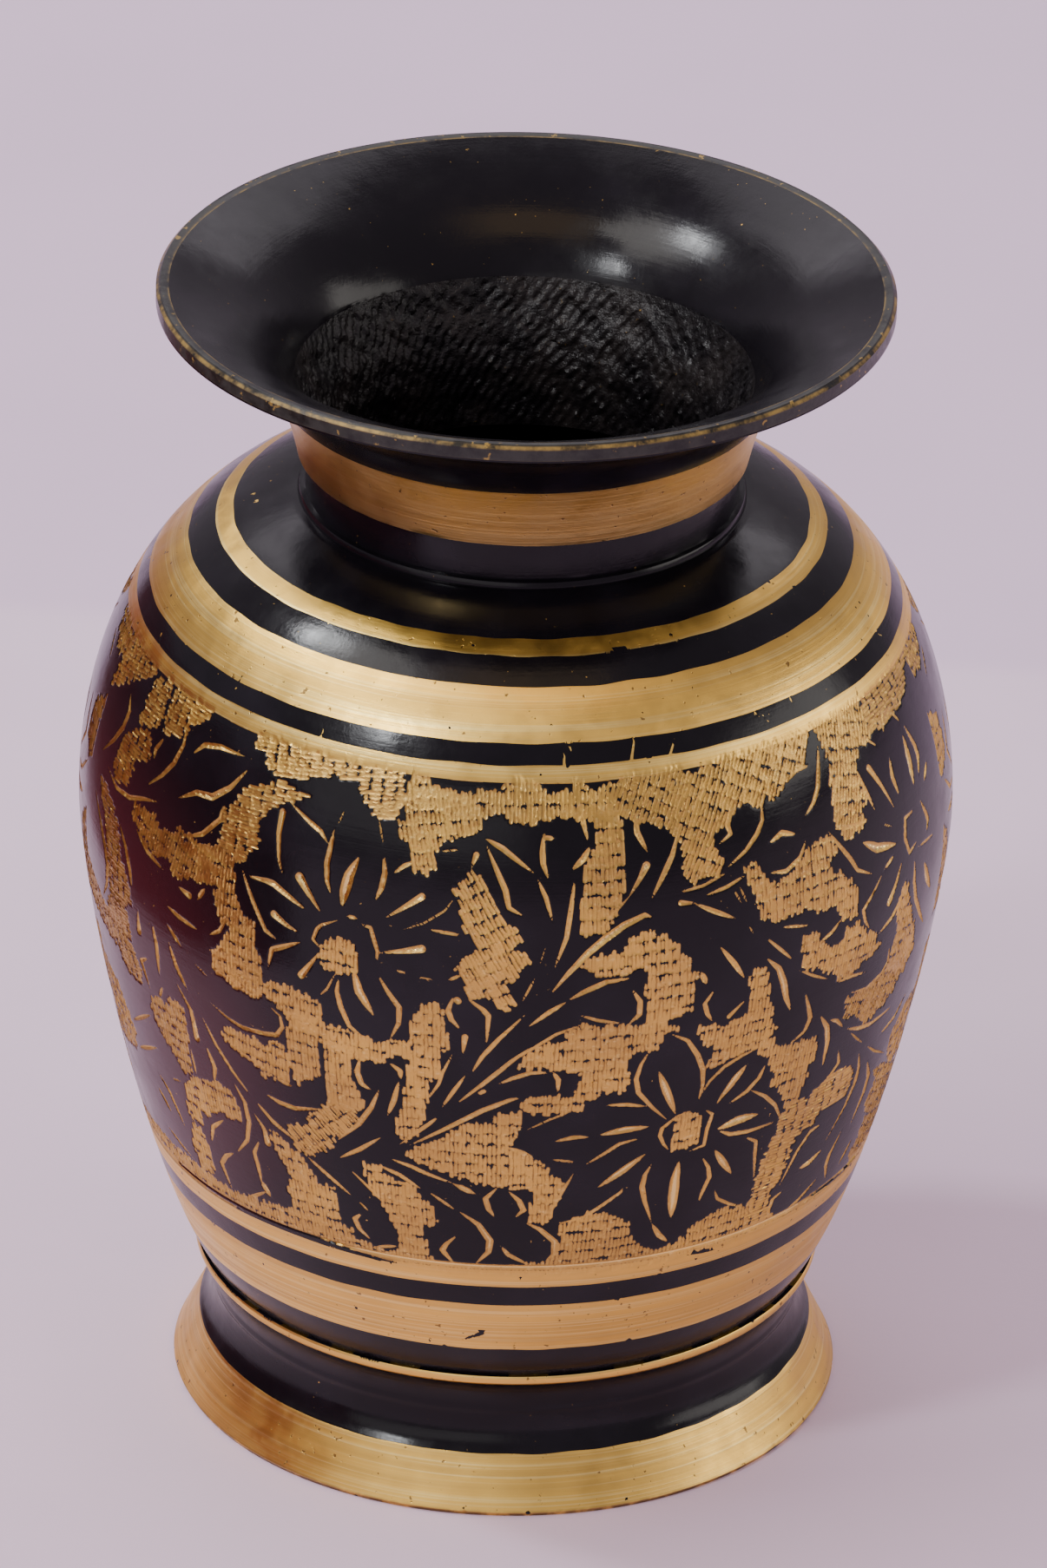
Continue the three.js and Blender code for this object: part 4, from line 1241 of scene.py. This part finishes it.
def turned_brass():
    """Lathe-turned brass: fine rings round the axis, tarnish clouds and small dark pits."""
    s = Shader("turned_brass")
    rings = s.noise(1, 3, 0.7, s.stretched(9, 9, 2300))
    broad = s.noise(1, 2, 0.5, s.stretched(6, 6, 600))
    tarnish = s.steps(s.noise(60, 4), 0.42, 0.7)
    colour = s.cover(BRASS, BRASS_DULL, tarnish, 0.3)
    colour = s.blend(s.steps(broad, 0.35, 0.7, 0, 0.5), colour, BRASS_DULL)
    colour = s.blend(s.steps(rings, 0.48, 0.68, 0, 0.6), colour, BRASS_BRIGHT)
    height = s.coordinate("Z")
    # The wide band on the neck, under the flare, is made darker and duller.
    colour = s.blend(s.steps(height, *NECK_DARKENING, 0, 0.6), colour, BRASS_DARKENED)
    pits = s.steps(s.noise(900, 2), 0.68, 0.73)
    colour = s.cover(colour, BROWN_STAIN_AND_SHADE, pits, 0.75)
    stain = s.math("MULTIPLY", s.steps(height, *LOW_STAIN), s.steps(s.noise(300, 3), 0.35, 0.55))
    colour = s.cover(colour, BROWN_STAIN_AND_SHADE, stain, 0.8)
    grooves = s.bump(s.math("ADD", rings, broad), 0.00003, 0.8)
    dents = s.bump(s.math("SUBTRACT", s.noise(500, 3), pits), 0.00005, 0.5, grooves)
    roughness = s.steps(s.noise(200, 4), 0.3, 0.7, 0.3, 0.42)
    round_axis = s.node("ShaderNodeTangent", direction_type="RADIAL", axis="Z")
    s.link(round_axis.outputs["Tangent"], s.surface.inputs["Tangent"])
    return s.finish(colour, roughness, 1.0, dents, Anisotropic=0.65)


def chiselled_brass():
    """Brass laid bare by the chisel, clean and with a painted highlight deep in the cuts, and stained
    along the lacquer's edge, with painted shade on the ridges between strokes.
    """
    s = Shader("chiselled_brass")
    drag = s.noise(1, 4, 0.7, s.stretched(900, 900, 1700))
    cut = s.attribute("cut")
    cloud = s.steps(s.noise(70, 4), 0.3, 0.65, 0.4, 1.0)
    colour = s.blend(cloud, BRASS, BRASS_DULL)
    colour = s.blend(s.steps(drag, 0.52, 0.75, 0, 0.5), colour, BRASS_BRIGHT)
    # Deep in the wider cuts: cleaner metal, and partly a painted highlight of facets catching the light.
    clean_and_highlight = s.steps(cut, 0.3, 0.5)
    colour = s.cover(colour, BRASS_BRIGHT, clean_and_highlight, 0.7)
    # Darker where the cut is shallow: stain along the lacquer's edge, and painted shade of the relief on the
    # ridges between chisel strokes.
    edge = s.steps(cut, 0.14, 0.0)
    colour = s.cover(colour, BROWN_STAIN_AND_SHADE, edge, 0.55)
    pits = s.steps(s.noise(1300, 3), 0.66, 0.72)
    colour = s.cover(colour, BROWN_STAIN_AND_SHADE, pits, 0.5)
    torn = s.bump(s.math("ADD", drag, s.noise(1100, 3)), 0.00008, 0.8)
    roughness = s.steps(s.noise(300, 3), 0.3, 0.7, 0.36, 0.5)
    roughness = s.math("SUBTRACT", roughness, s.math("MULTIPLY", clean_and_highlight, 0.2))
    return s.finish(colour, roughness, 1.0, torn)


def cast_skin():
    """Sand-cast skin under thin black lacquer, as in the throat and under the foot."""
    s = Shader("cast_skin")
    grain = s.noise(900, 4, 0.7)
    clouds = s.noise(120, 4)
    colour = s.blend(s.steps(clouds, 0.4, 0.7), *CAST_BLACK)
    bare = s.math("MULTIPLY", s.steps(grain, 0.66, 0.72), s.steps(clouds, 0.5, 0.65))
    colour = s.cover(colour, BRASS_DULL, bare, 0.4)
    rough = s.bump(s.math("ADD", grain, s.noise(450, 3)), 0.0003, 0.8)
    gloss = s.steps(grain, 0.3, 0.7, 0.24, 0.42)
    return s.finish(colour, gloss, s.math("MULTIPLY", bare, 0.7), rough, Specular_IOR_Level=0.3)


def worn_lip():
    """The lip: grey-green lacquer rubbed down to brass along both edges."""
    s = Shader("worn_lip")
    height = s.coordinate("Z")
    top, low = RIM[1] * MM, (RIM[1] - LIP_DEPTH) * MM
    rub = s.steps(s.noise(240, 4, 0.7), 0.35, 0.65)
    below = s.steps(height, top - 0.0001, top - 0.0003)
    upper = s.math("MULTIPLY", s.steps(height, top - 0.0008, top - 0.0004), below)
    lower = s.steps(height, low + 0.0004, low)
    edges = s.math("MAXIMUM", upper, lower)
    bare = s.math("MULTIPLY", edges, s.math("MULTIPLY", rub, 0.32))
    specks = s.steps(s.noise(700, 3), 0.64, 0.7)
    bare = s.math("MAXIMUM", bare, s.math("MULTIPLY", specks, 0.3))
    colour = s.blend(rub, *LACQUER_RUBBED)
    colour = s.blend(bare, colour, BRASS)
    normal = s.bump(s.noise(800, 4), 0.00008, 0.6)
    return s.finish(colour, s.steps(rub, 0, 1, 0.28, 0.42), bare, normal, Specular_IOR_Level=0.3)


def filler_metal():
    """Brass filler that ran into the joints, with flux stain and a rippled skin."""
    s = Shader("filler_metal")
    stain = s.steps(s.noise(180, 4), 0.4, 0.7)
    colour = s.blend(stain, *FILLER_BRASS)
    ripple = s.bump(s.noise(400, 3), 0.0002, 0.6)
    return s.finish(colour, s.steps(s.noise(250, 3), 0.3, 0.7, 0.3, 0.5), 1.0, ripple)


def floor_paint():
    """Pale matt table, and beyond it a slightly darker lilac ground."""
    s = Shader("pale_floor")
    slant = s.math("MULTIPLY", s.coordinate("X"), TABLE_SLANT)
    beyond = s.steps(s.math("SUBTRACT", s.coordinate("Y"), slant), *TABLE_END)
    cloud = s.steps(s.noise(9, 4), 0.35, 0.65)
    table = s.blend(cloud, TABLE_TONE, tuple(0.95 * c for c in TABLE_TONE))
    ground = s.blend(cloud, GROUND_TONE, tuple(0.97 * c for c in GROUND_TONE))
    normal = s.bump(s.noise(700, 3), 0.0001, 0.3)
    return s.finish(s.blend(beyond, table, ground), 0.7, 0.0, normal)


def red_cloth():
    """Dark red woven cloth."""
    s = Shader("red_cloth")
    weave = s.steps(s.noise(900, 2), 0.3, 0.7)
    return s.finish(s.blend(weave, *CLOTH_RED), 0.9, 0.0)


# ---------------------------------------------------------------- stage

CAMERA_DISTANCE = 1.905
CAMERA_PITCH = 27.4
CAMERA_ROLL = 1.28
CAMERA_ASIDE = 0.00113
CAMERA_REACH = 100
PICTURE_HEIGHT = 0.2294
SENSOR = 36
CENTRE = Vector((0, 0, 0.0953))

FLOOR_HALF = 30
CLOTH_HALF_WIDTH = 0.17
CLOTH_HEIGHT = 0.15
CLOTH_PLACE = (-0.17, 0.03, 0.001)

# Name, angle round, angle up, distance, size, power and colour.
LIGHTS = (
    ("high_window", -102, 53, 2.2, (0.24, 0.32), 17, (0.96, 0.98, 1.0)),
    ("front_window", -46, 41, 2.2, (0.24, 0.28), 15, (0.96, 0.98, 1.0)),
    ("right_glow", 87, 17, 2.5, (1.8, 1.0), 19, (1.0, 0.95, 0.88)),
    ("left_glow", -76, 57, 2.5, (1.0, 1.0), 17, (1.0, 0.96, 0.9)),
    ("front_fill", -30, 17, 2.6, (3.0, 1.0), 9, (1.0, 0.97, 0.95)),
    ("ceiling", 0, 71, 2.4, (1.5, 0.8), 5.0, (1.0, 0.66, 0.26)),
    ("back_wall", 180, 48, 2.8, (3.4, 1.6), 34, (1.0, 0.94, 1.0)),
)


def add_camera():
    """Long lens from the front, looking down at the belly."""
    data = bpy.data.cameras.new("camera")
    data.sensor_width = SENSOR
    data.lens = SENSOR * CAMERA_DISTANCE / PICTURE_HEIGHT
    data.clip_end = CAMERA_REACH
    camera = bpy.data.objects.new("camera", data)
    pitch = math.radians(CAMERA_PITCH)
    aim = Vector((CAMERA_ASIDE, 0, CENTRE.z))
    away = Vector((0, -math.cos(pitch), math.sin(pitch)))
    turn = (-away).to_track_quat("-Z", "Y").to_matrix() @ Matrix.Rotation(math.radians(CAMERA_ROLL), 3, "Z")
    camera.matrix_world = Matrix.Translation(aim + away * CAMERA_DISTANCE) @ turn.to_4x4()
    bpy.context.collection.objects.link(camera)
    bpy.context.scene.camera = camera


def stage_sheet(name, points, material):
    """A flat four-cornered sheet that isn't part of the object."""
    mesh = bpy.data.meshes.new(name)
    mesh.from_pydata(points, [], [(0, 1, 2, 3)])
    mesh.materials.append(material)
    sheet = bpy.data.objects.new(name, mesh)
    bpy.context.collection.objects.link(sheet)
    return sheet


def add_floor():
    """The table, with the ground beyond it painted on the same sheet."""
    near, far = -FLOOR_HALF, FLOOR_HALF
    stage_sheet("floor", [(near, near, 0), (far, near, 0), (far, far, 0), (near, far, 0)], floor_paint())


def add_cloth():
    """Dark red cloth standing close by on the left, seen only in the gloss of the metal."""
    across, high = CLOTH_HALF_WIDTH, CLOTH_HEIGHT
    points = [(0, -across, 0), (0, across, 0), (0, across, high), (0, -across, high)]
    cloth = stage_sheet("red_cloth", points, red_cloth())
    cloth.location = CLOTH_PLACE
    cloth.visible_camera = cloth.visible_diffuse = cloth.visible_shadow = False


def around(turn, rise, distance):
    """Place seen from the vase's middle at an angle round it, an angle up and a distance."""
    turn, rise = math.radians(turn), math.radians(rise)
    level = distance * math.cos(rise)
    return CENTRE + Vector((level * math.sin(turn), -level * math.cos(turn), distance * math.sin(rise)))


def add_light(name, turn, rise, distance, size, power, colour):
    """A soft rectangular light facing the vase, which no camera sees."""
    data = bpy.data.lights.new(name, "AREA")
    data.shape = "RECTANGLE"
    data.size, data.size_y = size
    data.energy = power
    data.color = colour
    light = bpy.data.objects.new(name, data)
    light.location = around(turn, rise, distance)
    light.rotation_euler = (CENTRE - light.location).to_track_quat("-Z", "Y").to_euler()
    light.visible_camera = False
    bpy.context.collection.objects.link(light)


def add_world():
    """A dim lilac room, pale where the camera looks past the floor."""
    world = bpy.data.worlds.new("room")
    bpy.context.scene.world = world
    world.use_nodes = True
    tree = world.node_tree
    path = tree.nodes.new("ShaderNodeLightPath")
    tone = tree.nodes.new("ShaderNodeMix")
    tone.data_type = "RGBA"
    tone.inputs[6].default_value = (*ROOM_TONE, 1)
    tone.inputs[7].default_value = (*GROUND_TONE, 1)
    tree.links.new(path.outputs["Is Camera Ray"], tone.inputs["Factor"])
    tree.links.new(tone.outputs[2], tree.nodes["Background"].inputs["Color"])


# ---------------------------------------------------------------- putting it together

def put_together():
    """Every detailed casting in place of its plain solid, with its finishes."""
    finishes = [lacquer(), turned_brass(), chiselled_brass(), cast_skin(), worn_lip()]
    outline, seam = body_outside()
    paint = body_paint(outline)
    pieces = (
        (mouth(), "mouth_flare", "mouth_metal"),
        (upper_body(outline, seam, paint), "upper_body", "body_metal"),
        (lower_body(outline, seam, paint), "lower_body", "body_metal"),
        (foot(), "foot_ring", "foot_metal"),
    )
    for piece, node, slot in pieces:
        for material in finishes:
            piece.data.materials.append(material)
        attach(piece, "root")
        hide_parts(node)
    filler = filler_metal()
    for node in ("neck_braze", "belly_braze", "foot_braze"):
        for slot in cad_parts[node].material_slots:
            slot.material = filler


add_camera()
add_floor()
add_world()
add_cloth()
for light in LIGHTS:
    add_light(*light)
put_together()
